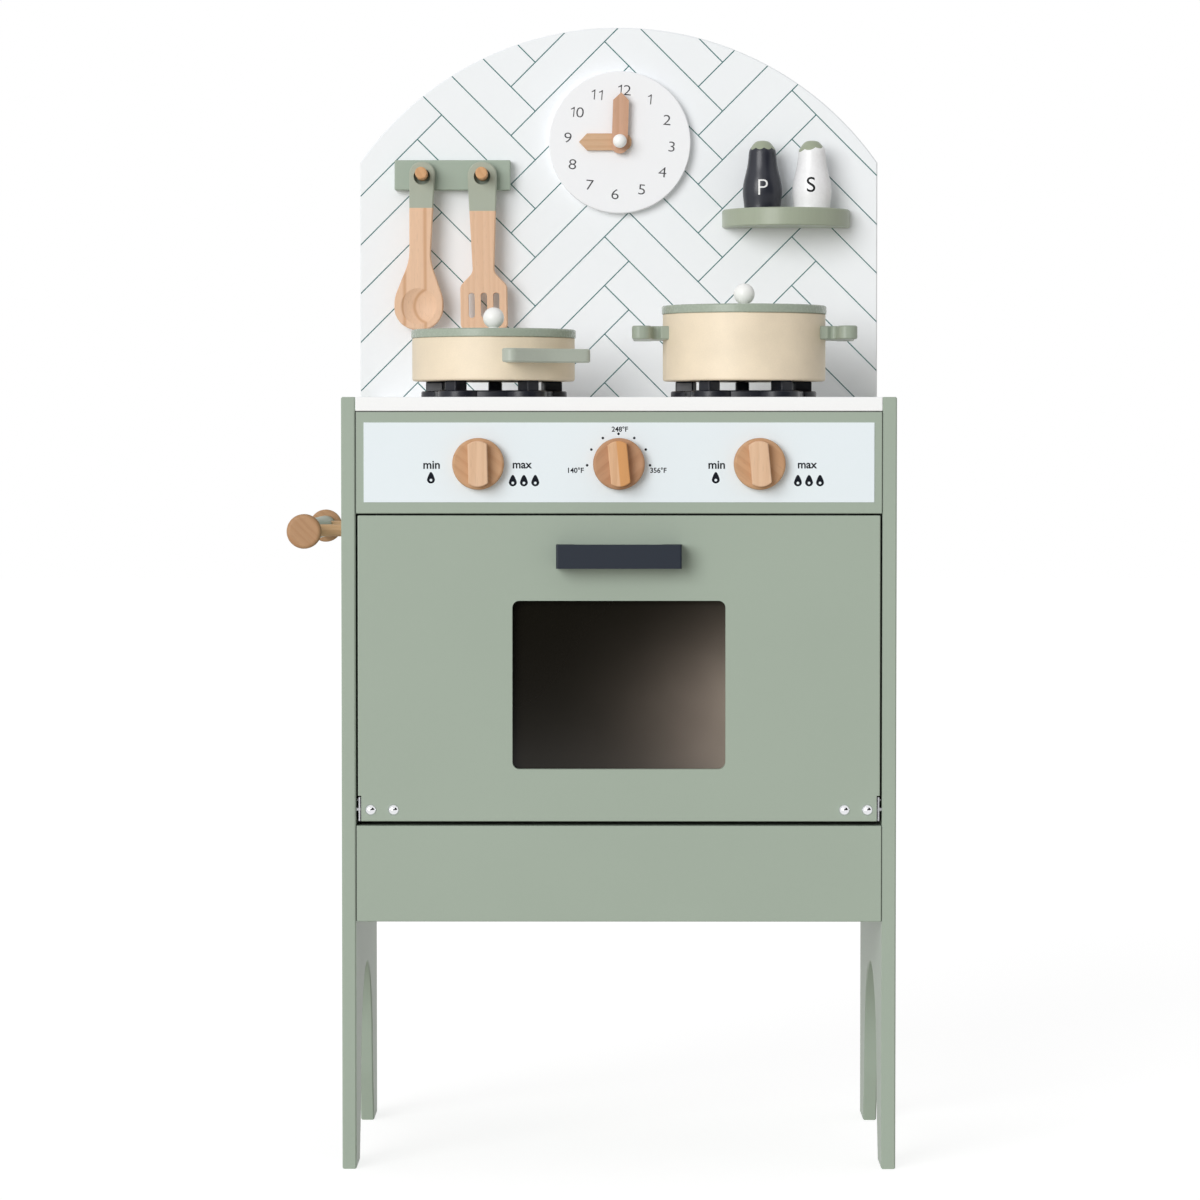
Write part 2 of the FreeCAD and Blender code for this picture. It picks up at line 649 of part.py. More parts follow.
# Half-round spice shelf, with a pepper and a salt shaker on it
shelf = Part.makeCylinder(SHELF_RADIUS, SHELF, V(0, 0, 0), UP, 180)
shelf.rotate(V(0, 0, 0), UP, 180)
shelf.translate(V(SHELF_X, back_face, shelf_top - SHELF))
pieces["spice_shelf"] = cut_all(rimmed(shelf, UP, EASE), back_holes)
shaker_curve = Part.BSplineCurve()
shaker_points = [V(SHAKER_RADIUS * out, 0, SHAKER_HEIGHT * up) for out, up in SHAKER_FORM]
shaker_curve.interpolate(Points=shaker_points, InitialTangent=UP, FinalTangent=LEFT)
shaker_edges = [
    Part.makeLine(V(0, 0, 0), shaker_points[0]), shaker_curve.toShape(),
    Part.makeLine(shaker_points[-1], V(0, 0, 0)),
]
shaker_face = Part.Face(Part.Wire(shaker_edges))
shaker_y = back_face - SHAKER_FORWARD
pieces["pepper_shaker"] = spun(shaker_face, V(SHELF_X - SHAKER_SPACING / 2, shaker_y, shelf_top), UP)
pieces["salt_shaker"] = spun(shaker_face, V(SHELF_X + SHAKER_SPACING / 2, shaker_y, shelf_top), UP)

# Pan and pot standing on the burners
grab_tip = PAN_RADIUS + GRAB_BAR_AT + GRAB_BAR
grab_side = [
    (GRAB_BAR_HALF, grab_tip, GRAB_LOBE_RADIUS),
    (GRAB_BAR_HALF, grab_tip - GRAB_BAR, GRAB_LOBE_RADIUS),
    (GRAB_THROAT_HALF, PAN_RADIUS + GRAB_THROAT_AT, GRAB_THROAT_RADIUS),
    (GRAB_BASE_HALF, PAN_RADIUS + GRAB_FOOT, GRAB_FOOT_RADIUS),
    (GRAB_BASE_HALF, PAN_RADIUS / 2, 0),
]
grab_corners = mirrored(grab_side) + [(0, grab_tip - GRAB_DIP, PAN_RADIUS)]


def side_handle(x, rim, turn):
    """Side handle on the wall, turned from straight ahead towards the right."""
    low = rim - GRAB_BELOW_RIM - GRAB_THICKNESS / 2
    handle = rimmed(slab(grab_corners, at_z(low), UP * GRAB_THICKNESS), UP, GRAB_EASE)
    handle = handle.cut(Part.makeCylinder(PAN_RADIUS + FIT, rim, V(0, 0, 0)))
    handle.rotate(V(0, 0, 0), UP, 180 + turn)
    handle.translate(V(x, middle_y, 0))
    return handle


def pan_body(x, height):
    inside = PAN_RADIUS - PAN_WALL
    profile = [
        (0, 0, 0), (PAN_RADIUS, 0, PAN_ROUND), (PAN_RADIUS, height, PAN_ROUND / 2),
        (inside, height, PAN_ROUND / 2), (inside, PAN_BASE, PAN_ROUND), (0, PAN_BASE, 0),
    ]
    return turned(profile, V(x, middle_y, rest_top), UP)


def pan_lid(x, rim):
    plug = PAN_RADIUS - PAN_WALL - LID_PLAY
    edge = PAN_RADIUS + LID_OVERHANG
    peg_room = BALL_PEG_RADIUS + FIT
    peg_floor = LID - BALL_PEG_DEPTH - FIT
    profile = [
        (0, -LID_PLUG, 0), (plug, -LID_PLUG, LID_ROUND / 2), (plug, 0, 0), (edge, 0, LID_ROUND / 2),
        (edge, LID, LID_ROUND), (peg_room, LID, 0), (peg_room, peg_floor, 0), (0, peg_floor, 0),
    ]
    return turned(profile, V(x, middle_y, rim), UP)


def lid_ball(x, rim):
    centre = V(x, middle_y, rim + LID + BALL_ABOVE)
    peg_end = V(x, middle_y, rim + LID - BALL_PEG_DEPTH)
    return Part.makeSphere(BALL_RADIUS, centre).fuse(rod(peg_end, centre, BALL_PEG_RADIUS)).removeSplitter()


pan_x = -BURNER_SPACING / 2
pan_rim = rest_top + PAN_HEIGHT
pieces["pan_body"] = pan_body(pan_x, PAN_HEIGHT)
pieces["pan_handle"] = side_handle(pan_x, pan_rim, PAN_GRAB_ANGLE)
pieces["pan_lid"] = pan_lid(pan_x, pan_rim)
pieces["pan_lid_knob"] = lid_ball(pan_x, pan_rim)
pot_x = BURNER_SPACING / 2
pot_rim = rest_top + POT_HEIGHT
pieces["pot_body"] = pan_body(pot_x, POT_HEIGHT)
pot_grabs = [side_handle(pot_x, pot_rim, POT_GRAB_ANGLE), side_handle(pot_x, pot_rim, POT_GRAB_ANGLE + 180)]
pieces["pot_handles"] = Part.makeCompound(pot_grabs)
pieces["pot_lid"] = pan_lid(pot_x, pot_rim)
pieces["pot_lid_knob"] = lid_ball(pot_x, pot_rim)

# Control panel and fascia, with a knob on each of three axle screws
knob_z = control_bottom + CONTROL_HEIGHT / 2 - KNOB_DROP
knob_back = -FASCIA - PLAY
knob_front = knob_back - KNOB_THICKNESS
grip_front = knob_front - GRIP_DEPTH
axle_holes = []
washers = []
for name, x in (("left", -KNOB_SPACING), ("middle", 0), ("right", KNOB_SPACING)):
    centre = V(x, 0, knob_z)
    axle_holes.append(rod(V(x, BOARD + WASHER, knob_z), V(x, knob_back, knob_z), AXLE_RADIUS + AXLE_PLAY))
    washer = rod(V(x, BOARD, knob_z), V(x, BOARD + WASHER, knob_z), WASHER_RADIUS)
    washers.append(washer.cut(axle_holes[-1]))
    socket_end = AXLE_DEPTH + FIT
    disc_profile = [
        (0, socket_end, 0), (AXLE_RADIUS + FIT, socket_end, 0), (AXLE_RADIUS + FIT, 0, 0),
        (KNOB_RADIUS, 0, 0), (KNOB_RADIUS, KNOB_THICKNESS, KNOB_ROUND), (0, KNOB_THICKNESS, 0),
    ]
    pieces[name + "_knob_disc"] = turned(disc_profile, V(x, knob_back, knob_z), FRONT)
    half_wide = GRIP_WIDTH / 2
    half_long = GRIP_LENGTH / 2
    shoulder = half_long - GRIP_END
    grip_edges = []
    for end in (1, -1):
        right = V(end * half_wide, knob_front, end * shoulder)
        left = V(-end * half_wide, knob_front, end * shoulder)
        grip_edges.append(Part.Arc(right, V(0, knob_front, end * half_long), left).toShape())
        grip_edges.append(Part.makeLine(left, left - UP * end * 2 * shoulder))
    grip = Part.Face(Part.Wire(grip_edges)).extrude(FRONT * GRIP_DEPTH)
    front_rim = [edge for edge in grip.Edges if abs(edge.CenterOfMass.y - grip_front) < FIT]
    grip = grip.makeFillet(GRIP_EASE, front_rim)
    grip.rotate(V(0, 0, 0), BACK, -GRIP_LEANS[name])
    grip.translate(centre)
    pieces[name + "_knob_grip"] = grip
    axle_head = BOARD + WASHER + PLAY / 2
    shank = axle_head - knob_back + AXLE_DEPTH
    axle_profile = [
        (0, -AXLE_HEAD, 0), (AXLE_HEAD_RADIUS, -AXLE_HEAD, 0), (AXLE_HEAD_RADIUS, 0, 0),
        (AXLE_RADIUS, 0, 0), (AXLE_RADIUS, shank, 0), (0, shank, 0),
    ]
    pieces[name + "_knob_axle"] = turned(axle_profile, V(x, axle_head, knob_z), FRONT)
pieces["knob_washers"] = Part.makeCompound(washers)
control_panel = board((-inner, 0, control_bottom), (inner, BOARD, worktop_under))
pieces["control_panel"] = cut_all(control_panel, side_holes + axle_holes)
fascia_z = control_bottom + CONTROL_HEIGHT / 2
fascia_low = (-FASCIA_WIDTH / 2, -FASCIA, fascia_z - FASCIA_HEIGHT / 2)
fascia = box(fascia_low, (FASCIA_WIDTH / 2, 0, fascia_z + FASCIA_HEIGHT / 2))
pieces["control_fascia"] = cut_all(fascia, axle_holes)

# Magnetic catch behind the control panel, and its steel plate on the door
catch_face = BOARD + CATCH_PLATE + PLAY
catch_rear = BOARD + CATCH_DEPTH
catch_top = control_bottom + CATCH_RISE
catch_bottom = control_bottom - CATCH_DROP
catch_corners = [
    (BOARD, control_bottom, 0), (BOARD, catch_top, 0), (catch_rear, catch_top, 0),
    (catch_rear, catch_bottom, 0), (catch_face, catch_bottom, 0), (catch_face, control_bottom, 0),
]
pieces["door_catch"] = slab(catch_corners, at_x(-CATCH_WIDTH / 2), RIGHT * CATCH_WIDTH)
plate_low = (-CATCH_WIDTH / 2, BOARD, catch_bottom)
pieces["door_catch_plate"] = box(plate_low, (CATCH_WIDTH / 2, BOARD + CATCH_PLATE, door_top - EASE))

# Oven door: panel, window in a rebate at the back, handle, and the screws of both
door = board((-door_half, 0, door_bottom), (door_half, BOARD, door_top))
half_window = WINDOW_WIDTH / 2
half_tall = (DOOR_HEIGHT - WINDOW_ABOVE - WINDOW_BELOW) / 2
window_z = door_bottom + WINDOW_ABOVE + half_tall


def window_corners(grow, radius):
    top = window_z + half_tall + grow
    bottom = window_z - half_tall - grow
    return mirrored([(half_window + grow, top, radius), (half_window + grow, bottom, radius)])


pane_front = BOARD - PANE
opening = slab(window_corners(0, WINDOW_CORNER), at_y(0), BACK * BOARD)
rebate = slab(window_corners(PANE_LAP, WINDOW_CORNER), at_y(pane_front), BACK * PANE)
pane = slab(window_corners(PANE_LAP - PLAY, WINDOW_CORNER), at_y(pane_front), BACK * PANE)
window_screws = []
window_holes = []
for side in (-1, 1):
    for level in (-1, 1):
        x = side * (half_window + PANE_LAP / 2)
        head = V(x, BOARD, window_z + level * (half_tall + PANE_LAP / 2))
        window_screws.append(screw(head, FRONT, PANE_SCREW))
        window_holes.append(screw(head, FRONT, PANE_SCREW, FIT))
pieces["window_screws"] = Part.makeCompound(window_screws)
pieces["oven_window"] = cut_all(pane, window_holes)
handle_z = door_top - HANDLE_BELOW
handle_half = HANDLE_LENGTH / 2
gap_half = handle_half - HANDLE_FOOT
gap_front = HANDLE_BAR - HANDLE_PROUD
handle_side = [(handle_half, 0, 0), (handle_half, -HANDLE_PROUD, HANDLE_ROUND)]
gap_side = [(gap_half, gap_front, HANDLE_GAP_ROUND), (gap_half, 0, 0)]
handle_corners = mirrored(gap_side + handle_side)
handle_low = handle_z - HANDLE_HEIGHT / 2
handle = slab(handle_corners, at_z(handle_low), UP * HANDLE_HEIGHT)
handle_screws = []
handle_holes = []
for side in (-1, 1):
    head = V(side * (handle_half - HANDLE_FOOT / 2), BOARD, handle_z)
    handle_screws.append(screw(head, FRONT, HANDLE_SCREW))
    handle_holes.append(screw(head, FRONT, HANDLE_SCREW, FIT))
pieces["door_handle_screws"] = Part.makeCompound(handle_screws)
pieces["door_handle"] = cut_all(handle, handle_holes)

# Hinge brackets: a strip on the door's back, and an ear that stands in a notch at the door's edge
plate_rear = BOARD + EAR
brackets = []
bolts = []
nuts = []
bolt_holes = []
notches = []
for side in (-1, 1):
    edges_x = sorted((side * ear_outer, side * ear_inner))
    ear_low = (edges_x[0], EAR_INSET, door_bottom + EAR_LIFT)
    ear = box(ear_low, (edges_x[1], BOARD, pivot_z + EAR_RISE))
    strip_inner = door_half - BOLT_INSET - BOLT_SPACING - BRACKET_END
    strip_x = sorted((side * ear_outer, side * strip_inner))
    strip_low = (strip_x[0], BOARD, pivot_z - BRACKET_HALF_HEIGHT)
    strip = box(strip_low, (strip_x[1], plate_rear, pivot_z + BRACKET_HALF_HEIGHT))
    pin_start = V(side * door_half, pivot_y, pivot_z)
    pin_room = rod(pin_start, V(side * pin_end, pivot_y, pivot_z), PIN_RADIUS + AXLE_PLAY)
    own_holes = [pin_room]
    for inset in (BOLT_INSET, BOLT_INSET + BOLT_SPACING):
        x = side * (door_half - inset)
        shank_end = V(x, plate_rear + NUT + BOLT_END, pivot_z)
        hole = rod(V(x, 0, pivot_z), shank_end, BOLT_RADIUS + FIT)
        own_holes.append(hole)
        bolt_holes.append(hole)
        dome_sphere = (BOLT_HEAD_RADIUS ** 2 + BOLT_HEAD ** 2) / (2 * BOLT_HEAD)
        dome = Part.makeSphere(dome_sphere, V(x, dome_sphere - BOLT_HEAD, pivot_z))
        front_room = rod(V(x, -dome_sphere, pivot_z), V(x, 0, pivot_z), BOLT_HEAD_RADIUS * 2)
        bolt = dome.common(front_room).fuse(rod(V(x, 0, pivot_z), shank_end, BOLT_RADIUS))
        bolts.append(bolt)
        hexagon = []
        for corner in range(6):
            turn = math.radians(60 * corner)
            hexagon.append((x + NUT_RADIUS * math.cos(turn), pivot_z + NUT_RADIUS * math.sin(turn), 0))
        nut = slab(hexagon, at_y(plate_rear), BACK * NUT)
        nuts.append(nut.cut(hole))
    brackets.append(cut_all(ear.fuse(strip).removeSplitter(), own_holes))
    notch_x = sorted((side * (door_half - NOTCH_WIDTH), side * inner))
    notches.append(box((notch_x[0], 0, door_bottom), (notch_x[1], BOARD, door_bottom + NOTCH_HEIGHT)))
pieces["hinge_brackets"] = Part.makeCompound(brackets)
pieces["hinge_bolts"] = Part.makeCompound(bolts)
pieces["hinge_nuts"] = Part.makeCompound(nuts)
pieces["door_panel"] = cut_all(door, [opening, rebate] + window_holes + handle_holes + bolt_holes + notches)

# Export about the middle of the whole object's footprint, on the floor
left_most = towel_x - TOWEL_DISC_RADIUS
front_most = min(-HANDLE_PROUD, grip_front)
to_middle = V(-(left_most + back_half) / 2, -(front_most + back_rear) / 2, 0)
os.makedirs("parts", exist_ok=True)
for name, shape in pieces.items():
    placed = shape.copy()
    placed.translate(to_middle)
    placed.exportStep("parts/" + name + ".step")
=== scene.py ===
import bmesh
import bpy
import math
from mathutils import Matrix, Vector
from mathutils.bvhtree import BVHTree


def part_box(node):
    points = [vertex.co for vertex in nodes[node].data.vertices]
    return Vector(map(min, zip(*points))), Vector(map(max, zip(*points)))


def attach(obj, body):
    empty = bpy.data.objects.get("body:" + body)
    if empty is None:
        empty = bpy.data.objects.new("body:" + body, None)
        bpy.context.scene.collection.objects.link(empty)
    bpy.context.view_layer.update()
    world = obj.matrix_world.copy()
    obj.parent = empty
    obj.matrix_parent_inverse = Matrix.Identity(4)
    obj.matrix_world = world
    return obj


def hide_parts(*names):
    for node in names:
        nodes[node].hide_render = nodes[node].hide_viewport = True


# Stage: a plain white floor in soft daylight from the upper left, seen from straight in front
# through a long lens that stands about level with the worktop.
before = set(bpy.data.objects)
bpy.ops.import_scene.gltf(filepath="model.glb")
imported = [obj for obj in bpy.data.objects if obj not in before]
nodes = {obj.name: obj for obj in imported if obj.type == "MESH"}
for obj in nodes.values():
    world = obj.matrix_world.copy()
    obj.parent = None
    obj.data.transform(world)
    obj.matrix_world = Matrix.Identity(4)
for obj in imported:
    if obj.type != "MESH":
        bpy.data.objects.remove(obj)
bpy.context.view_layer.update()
scene = bpy.context.scene
scene.view_settings.view_transform = "Standard"
MM = 0.001
panel_low, panel_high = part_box("control_panel")
MIDDLE_X = (panel_low.x + panel_high.x) / 2
FRONT_Y = panel_low.y


def spot(x, y, z):
    """Point in metres, from millimetres right of the middle, behind the front and above the floor."""
    return Vector((MIDDLE_X + x * MM, FRONT_Y + y * MM, z * MM))


class Wire:
    """An output on its way to other nodes. Sums written on it become Math nodes in its tree."""

    def __init__(self, web, socket):
        self.web = web
        self.socket = socket

    def out(self, name):
        """Another output of the same node."""
        return Wire(self.web, self.socket.node.outputs[name])

    def maths(self, operation, *terms):
        return self.web.node("ShaderNodeMath", {"operation": operation}, dict(enumerate(terms)))

    def __add__(self, other):
        return self.maths("ADD", self, other)

    def __radd__(self, other):
        return self.maths("ADD", other, self)

    def __sub__(self, other):
        return self.maths("SUBTRACT", self, other)

    def __rsub__(self, other):
        return self.maths("SUBTRACT", other, self)

    def __mul__(self, other):
        return self.maths("MULTIPLY", self, other)

    def __rmul__(self, other):
        return self.maths("MULTIPLY", other, self)

    def __truediv__(self, other):
        return self.maths("DIVIDE", self, other)

    def __mod__(self, other):
        return self.maths("FLOORED_MODULO", self, other)


class Web:
    """A node tree as it is wired up, of a material, the world or Geometry Nodes."""

    def __init__(self, tree):
        self.tree = tree
        self.tree.nodes.clear()

    def node(self, kind, settings=None, sockets=None, out=0):
        """Adds a node, sets it up, feeds its sockets and gives one of its outputs.

        A list feeds each of its items to the same socket."""
        made = self.tree.nodes.new(kind)
        for name, value in (settings or {}).items():
            setattr(made, name, value)
        for key, value in (sockets or {}).items():
            for source in value if isinstance(value, list) else [value]:
                if isinstance(source, Wire):
                    self.tree.links.new(source.socket, made.inputs[key])
                else:
                    made.inputs[key].default_value = source
        return Wire(self, made.outputs[out]) if made.outputs else made

    def mix(self, share, first, second):
        """Colour between two others. 6, 7 and 2 are the Mix node's colour sockets."""
        return self.node("ShaderNodeMix", {"data_type": "RGBA"}, {0: share, 6: first, 7: second}, out=2)


def seen_directly(web):
    """1 for what the camera, a reflection or glass looks at, and 0 for what only gives light."""
    camera_ray = web.node("ShaderNodeLightPath", out="Is Camera Ray")
    glossy = camera_ray.out("Is Glossy Ray")
    through = camera_ray.out("Is Transmission Ray")
    return camera_ray.maths("MAXIMUM", camera_ray, glossy.maths("MAXIMUM", glossy, through))


LENS = 128.33
SENSOR = 36.0
CAMERA_SPOT = (-3.1, -3310.0, 559.5)
CAMERA_TILT = 2.017
CAMERA_TURN = 0.2
lens = bpy.data.cameras.new("camera")
lens.lens = LENS
lens.sensor_width = SENSOR
camera = bpy.data.objects.new("camera", lens)
camera.location = spot(*CAMERA_SPOT)
camera.rotation_euler = (math.radians(90.0 - CAMERA_TILT), 0.0, math.radians(CAMERA_TURN))
scene.collection.objects.link(camera)
scene.camera = camera

SKY_LIGHT = 0.43
SKY_WHITE = (1, 1, 1, 1)
sky = bpy.data.worlds.new("daylight")
sky.use_nodes = True
scene.world = sky
sky_web = Web(sky.node_tree)
sky_strength = SKY_LIGHT + seen_directly(sky_web) * (1 - SKY_LIGHT)
sky_back = sky_web.node("ShaderNodeBackground", {}, {"Color": SKY_WHITE, "Strength": sky_strength})
sky_web.node("ShaderNodeOutputWorld", {}, {"Surface": sky_back})

SUN_POWER = 1.93
SUN_SPREAD = 36
SUN_HEADING = (0.55, 1.0, -0.28)
sun_lamp = bpy.data.lights.new("window_light", "SUN")
sun_lamp.energy = SUN_POWER
sun_lamp.angle = math.radians(SUN_SPREAD)
sun = bpy.data.objects.new("window_light", sun_lamp)
sun.rotation_euler = Vector(SUN_HEADING).to_track_quat("-Z", "Y").to_euler()
scene.collection.objects.link(sun)

FLOOR_HALF = 15000
FLOOR_GLOW = 0.8
FLOOR_BOUNCE = (0.8, 0.77, 0.7, 1)
FLOOR_GREY = (0.4, 0.4, 0.4, 1)
floor_mesh = bpy.data.meshes.new("floor")
floor_signs = ((-1, -1), (1, -1), (1, 1), (-1, 1))
floor_corners = [(x * FLOOR_HALF * MM, y * FLOOR_HALF * MM, 0) for x, y in floor_signs]
floor_mesh.from_pydata(floor_corners, [], [(0, 1, 2, 3)])
floor = bpy.data.objects.new("floor", floor_mesh)
scene.collection.objects.link(floor)
floor_finish = bpy.data.materials.new("floor")
floor_finish.use_nodes = True
floor_web = Web(floor_finish.node_tree)
floor_seen = seen_directly(floor_web)
floor_colour = floor_web.mix(floor_seen, FLOOR_BOUNCE, FLOOR_GREY)
floor_matt = floor_web.node("ShaderNodeBsdfDiffuse", {}, {"Color": floor_colour})
floor_glow = floor_web.node("ShaderNodeEmission", {}, {"Strength": floor_seen * FLOOR_GLOW})
floor_sum = floor_web.node("ShaderNodeAddShader", {}, {0: floor_matt, 1: floor_glow})
floor_web.node("ShaderNodeOutputMaterial", {}, {"Surface": floor_sum})
floor_mesh.materials.append(floor_finish)

# A dark card stands behind the camera and rises to its right, where only reflections meet it.
CARD_Y = -4600
CARD_OUTLINE = ((-1500, 0), (13000, 0), (5600, 5400), (3200, 5400), (1400, 1500), (-1500, 1500))
CARD_TINT = (0.02, 0.02, 0.02, 1)
card_mesh = bpy.data.meshes.new("dark_card")
card_corners = [spot(x, CARD_Y, z) for x, z in CARD_OUTLINE]
card_mesh.from_pydata(card_corners, [], [range(len(card_corners))])
card = bpy.data.objects.new("dark_card", card_mesh)
card.visible_camera = False
card.visible_diffuse = False
card.visible_shadow = False
scene.collection.objects.link(card)
card_finish = bpy.data.materials.new("dark_card")
card_finish.use_nodes = True
card_web = Web(card_finish.node_tree)
card_matt = card_web.node("ShaderNodeBsdfDiffuse", {}, {"Color": CARD_TINT})
card_web.node("ShaderNodeOutputMaterial", {}, {"Surface": card_matt})
card_mesh.materials.append(card_finish)


# Cabinet boards: two side panels on arched feet, the worktop, control panel, kick panel and oven floor.
# They are sanded fibreboard under two rolled coats of satin paint, screwed together through the sides.
SAGE = (164, 177, 163)
WHITE = (251, 252, 253)
# Painted shade along board seams: its outer width, its fully dark core and how dark it gets.
SEAM = 0.9
SEAM_CORE = 0.36
SEAM_SHADE = 0.3
RELIEF = 0.2
STIPPLE_GRAIN = 420.0
STREAK_GRAIN = 700.0
STREAK_DRAW = (1, 1, 0.05)


class Finish(Web):
    """A material with one Principled surface, drawn in the object's own metres."""

    def __init__(self, name):
        self.material = bpy.data.materials.new(name)
        self.material.use_nodes = True
        super().__init__(self.material.node_tree)
        self.place = self.node("ShaderNodeTexCoord", out="Object")

    def noise(self, scale, detail=3.0, vector=None):
        sockets = {"Vector": vector or self.place, "Scale": scale, "Detail": detail}
        return self.node("ShaderNodeTexNoise", {}, sockets)

    def axis(self, name, vector=None):
        return self.node("ShaderNodeSeparateXYZ", {}, {"Vector": vector or self.place}, out=name)

    def ease(self, value, start, end):
        """0 below start and 1 above end, with a smooth change between them."""
        sockets = {"Value": value, "From Min": start, "From Max": end}
        return self.node("ShaderNodeMapRange", {"interpolation_type": "SMOOTHSTEP"}, sockets)

    def bump(self, height, strength):
        sockets = {"Strength": strength, "Distance": RELIEF * MM, "Height": height}
        return self.node("ShaderNodeBump", {}, sockets)

    def surface(self, **sockets):
        named = {name.replace("_", " "): value for name, value in sockets.items()}
        shader = self.node("ShaderNodeBsdfPrincipled", {}, named)
        self.node("ShaderNodeOutputMaterial", {}, {"Surface": shader})
        return self.material


def linear(red, green, blue):
    """Colour that shows as these sRGB levels of 0 to 255."""
    levels = []
    for level in (red, green, blue):
        share = level / 255
        levels.append(share / 12.92 if share <= 0.04045 else ((share + 0.055) / 1.055) ** 2.4)
    return (*levels, 1.0)


def shade(tint, share):
    """The same colour, darker under a share of 1 and lighter above it."""
    return linear(*(min(255, level * share) for level in tint))


def paint(name, tint, roughness=0.42, cloud=0.02, stipple=0.12, patch=7.0, seam_shades=(), streaks=0.0):
    """Rolled satin paint: faintly cloudy, with the roller's fine stipple.

    seam_shades are (axis, level) lines where the board meets another, its rounded edge given painted shade.
    streaks is the share of upright grain that shows through on a turned edge."""
    coat = Finish(name)
    drift = coat.noise(patch, detail=2.0)
    dabs = coat.noise(STIPPLE_GRAIN, detail=2.0)
    blend = drift * (0.8 - streaks) + dabs * 0.2
    if streaks:
        drawn = coat.node("ShaderNodeMapping", {}, {"Vector": coat.place, "Scale": STREAK_DRAW})
        blend = blend + coat.noise(STREAK_GRAIN, detail=3.0, vector=drawn) * streaks
    tone = coat.mix(blend, shade(tint, 1 - cloud), shade(tint, 1 + cloud))
    # Painted shade: each seam's rounded edge is darkened towards the joint, in place of the groove's
    # shadow.
    for axis, level in seam_shades:
        away = coat.axis(axis) - level
        lit = coat.ease(away.maths("ABSOLUTE", away), SEAM_CORE * MM, SEAM * MM)
        tone = coat.mix(lit, shade(tint, SEAM_SHADE), tone)
    sheen = roughness - 0.05 + dabs * 0.1
    skin = coat.bump(dabs, stipple)
    return coat.surface(Base_Color=tone, Roughness=sheen, Specular_IOR_Level=0.3, Normal=skin)


def dress(material, *names):
    for name in names:
        for slot in nodes[name].material_slots:
            slot.material = material


sage_paint = paint("sage_paint", SAGE)
white_paint = paint("white_paint", WHITE, roughness=0.38, cloud=0.008)
dress(sage_paint, "left_side_panel", "right_side_panel", "oven_floor")
# The control and kick panels get painted shade where they meet the side panels, the control panel also
# under the worktop.
panel_seam_shades = (("X", panel_low.x), ("X", panel_high.x))
dress(paint("panel_paint", SAGE, seam_shades=panel_seam_shades + (("Z", panel_high.z),)), "control_panel")
dress(paint("kick_paint", SAGE, seam_shades=panel_seam_shades), "kick_panel")
dress(white_paint, "worktop")


# Backsplash: a white board with an arched top, printed with fine teal lines in a herringbone of tiles.
# Under it, a thin hardboard panel closes the oven. Both are screwed to the side panels' rear edges.
BOARD_WHITE = (245, 248, 251)
TILE_LINE = (64, 112, 112)
TILE_PERIOD = 78.5
TILE_PITCH = 40.78
LINE_WIDTH = 0.9
LINE_PROUD = 0.04
TILE_COLUMNS = 6
TILE_ROWS = 12
TILE_X = -247.3
TILE_Z = 574.7
ARCH_STEPS = 96
ARCH_RADIUS = 265.0
ARCH_EASE = 0.6
HARD_DARK = (206, 200, 190)
HARD_PALE = (232, 228, 220)


def add_input(tree, name, kind):
    tree.interface.new_socket(name, in_out="INPUT", socket_type=kind)


def grown(name, tree, source, inputs):
    """Runs a Geometry Nodes tree on a source mesh and gives the result as a plain object."""
    holder = bpy.data.objects.new(name + "_seed", source)
    scene.collection.objects.link(holder)
    modifier = holder.modifiers.new(name, "NODES")
    modifier.node_group = tree
    for item in tree.interface.items_tree:
        if item.in_out == "INPUT" and item.name in inputs:
            modifier[item.identifier] = inputs[item.name]
    graph = bpy.context.evaluated_depsgraph_get()
    mesh = bpy.data.meshes.new_from_object(holder.evaluated_get(graph), depsgraph=graph)
    bpy.data.objects.remove(holder)
    mesh.name = name
    piece = bpy.data.objects.new(name, mesh)
    scene.collection.objects.link(piece)
    return piece


def prism(name, outline, front, back):
    """Closed slab of a flat outline of (x, z) points between two depths."""
    shape = bmesh.new()
    face = shape.faces.new([shape.verts.new((x, front, z)) for x, z in outline])
    pushed = bmesh.ops.extrude_face_region(shape, geom=[face])
    rear = [item for item in pushed["geom"] if isinstance(item, bmesh.types.BMVert)]
    bmesh.ops.translate(shape, verts=rear, vec=(0, back - front, 0))
    bmesh.ops.recalc_face_normals(shape, faces=shape.faces)
    mesh = bpy.data.meshes.new(name)
    shape.to_mesh(mesh)
    shape.free()
    return mesh


tiles = bpy.data.node_groups.new("herringbone_lines", "GeometryNodeTree")
tiles.interface.new_socket("Geometry", in_out="INPUT", socket_type="NodeSocketGeometry")
for name in ("Period", "Pitch", "Line Width", "Line Depth"):
    add_input(tiles, name, "NodeSocketFloat")
for name in ("Columns", "Rows"):
    add_input(tiles, name, "NodeSocketInt")
add_input(tiles, "First", "NodeSocketVector")
add_input(tiles, "Board", "NodeSocketObject")
add_input(tiles, "Ink", "NodeSocketMaterial")
tiles.interface.new_socket("Geometry", in_out="OUTPUT", socket_type="NodeSocketGeometry")
tile_web = Web(tiles)
given = tile_web.node("NodeGroupInput")
period = given.out("Period")
pitch = given.out("Pitch")
rows = given.out("Rows")
index = tile_web.node("GeometryNodeInputIndex")
row = index % rows
column = index.maths("FLOOR", index / rows)
odd = column % 2
rise = row * pitch - (1 - odd) * period
shift = tile_web.node("ShaderNodeCombineXYZ", {}, {"X": column * period, "Z": rise})
start = tile_web.node("ShaderNodeVectorMath", {"operation": "ADD"}, {0: given.out("First"), 1: shift})
ends = tile_web.node("GeometryNodePoints", {}, {"Count": rows * given.out("Columns"), "Position": start})
long_side = (period + pitch / 2) * math.sqrt(2)
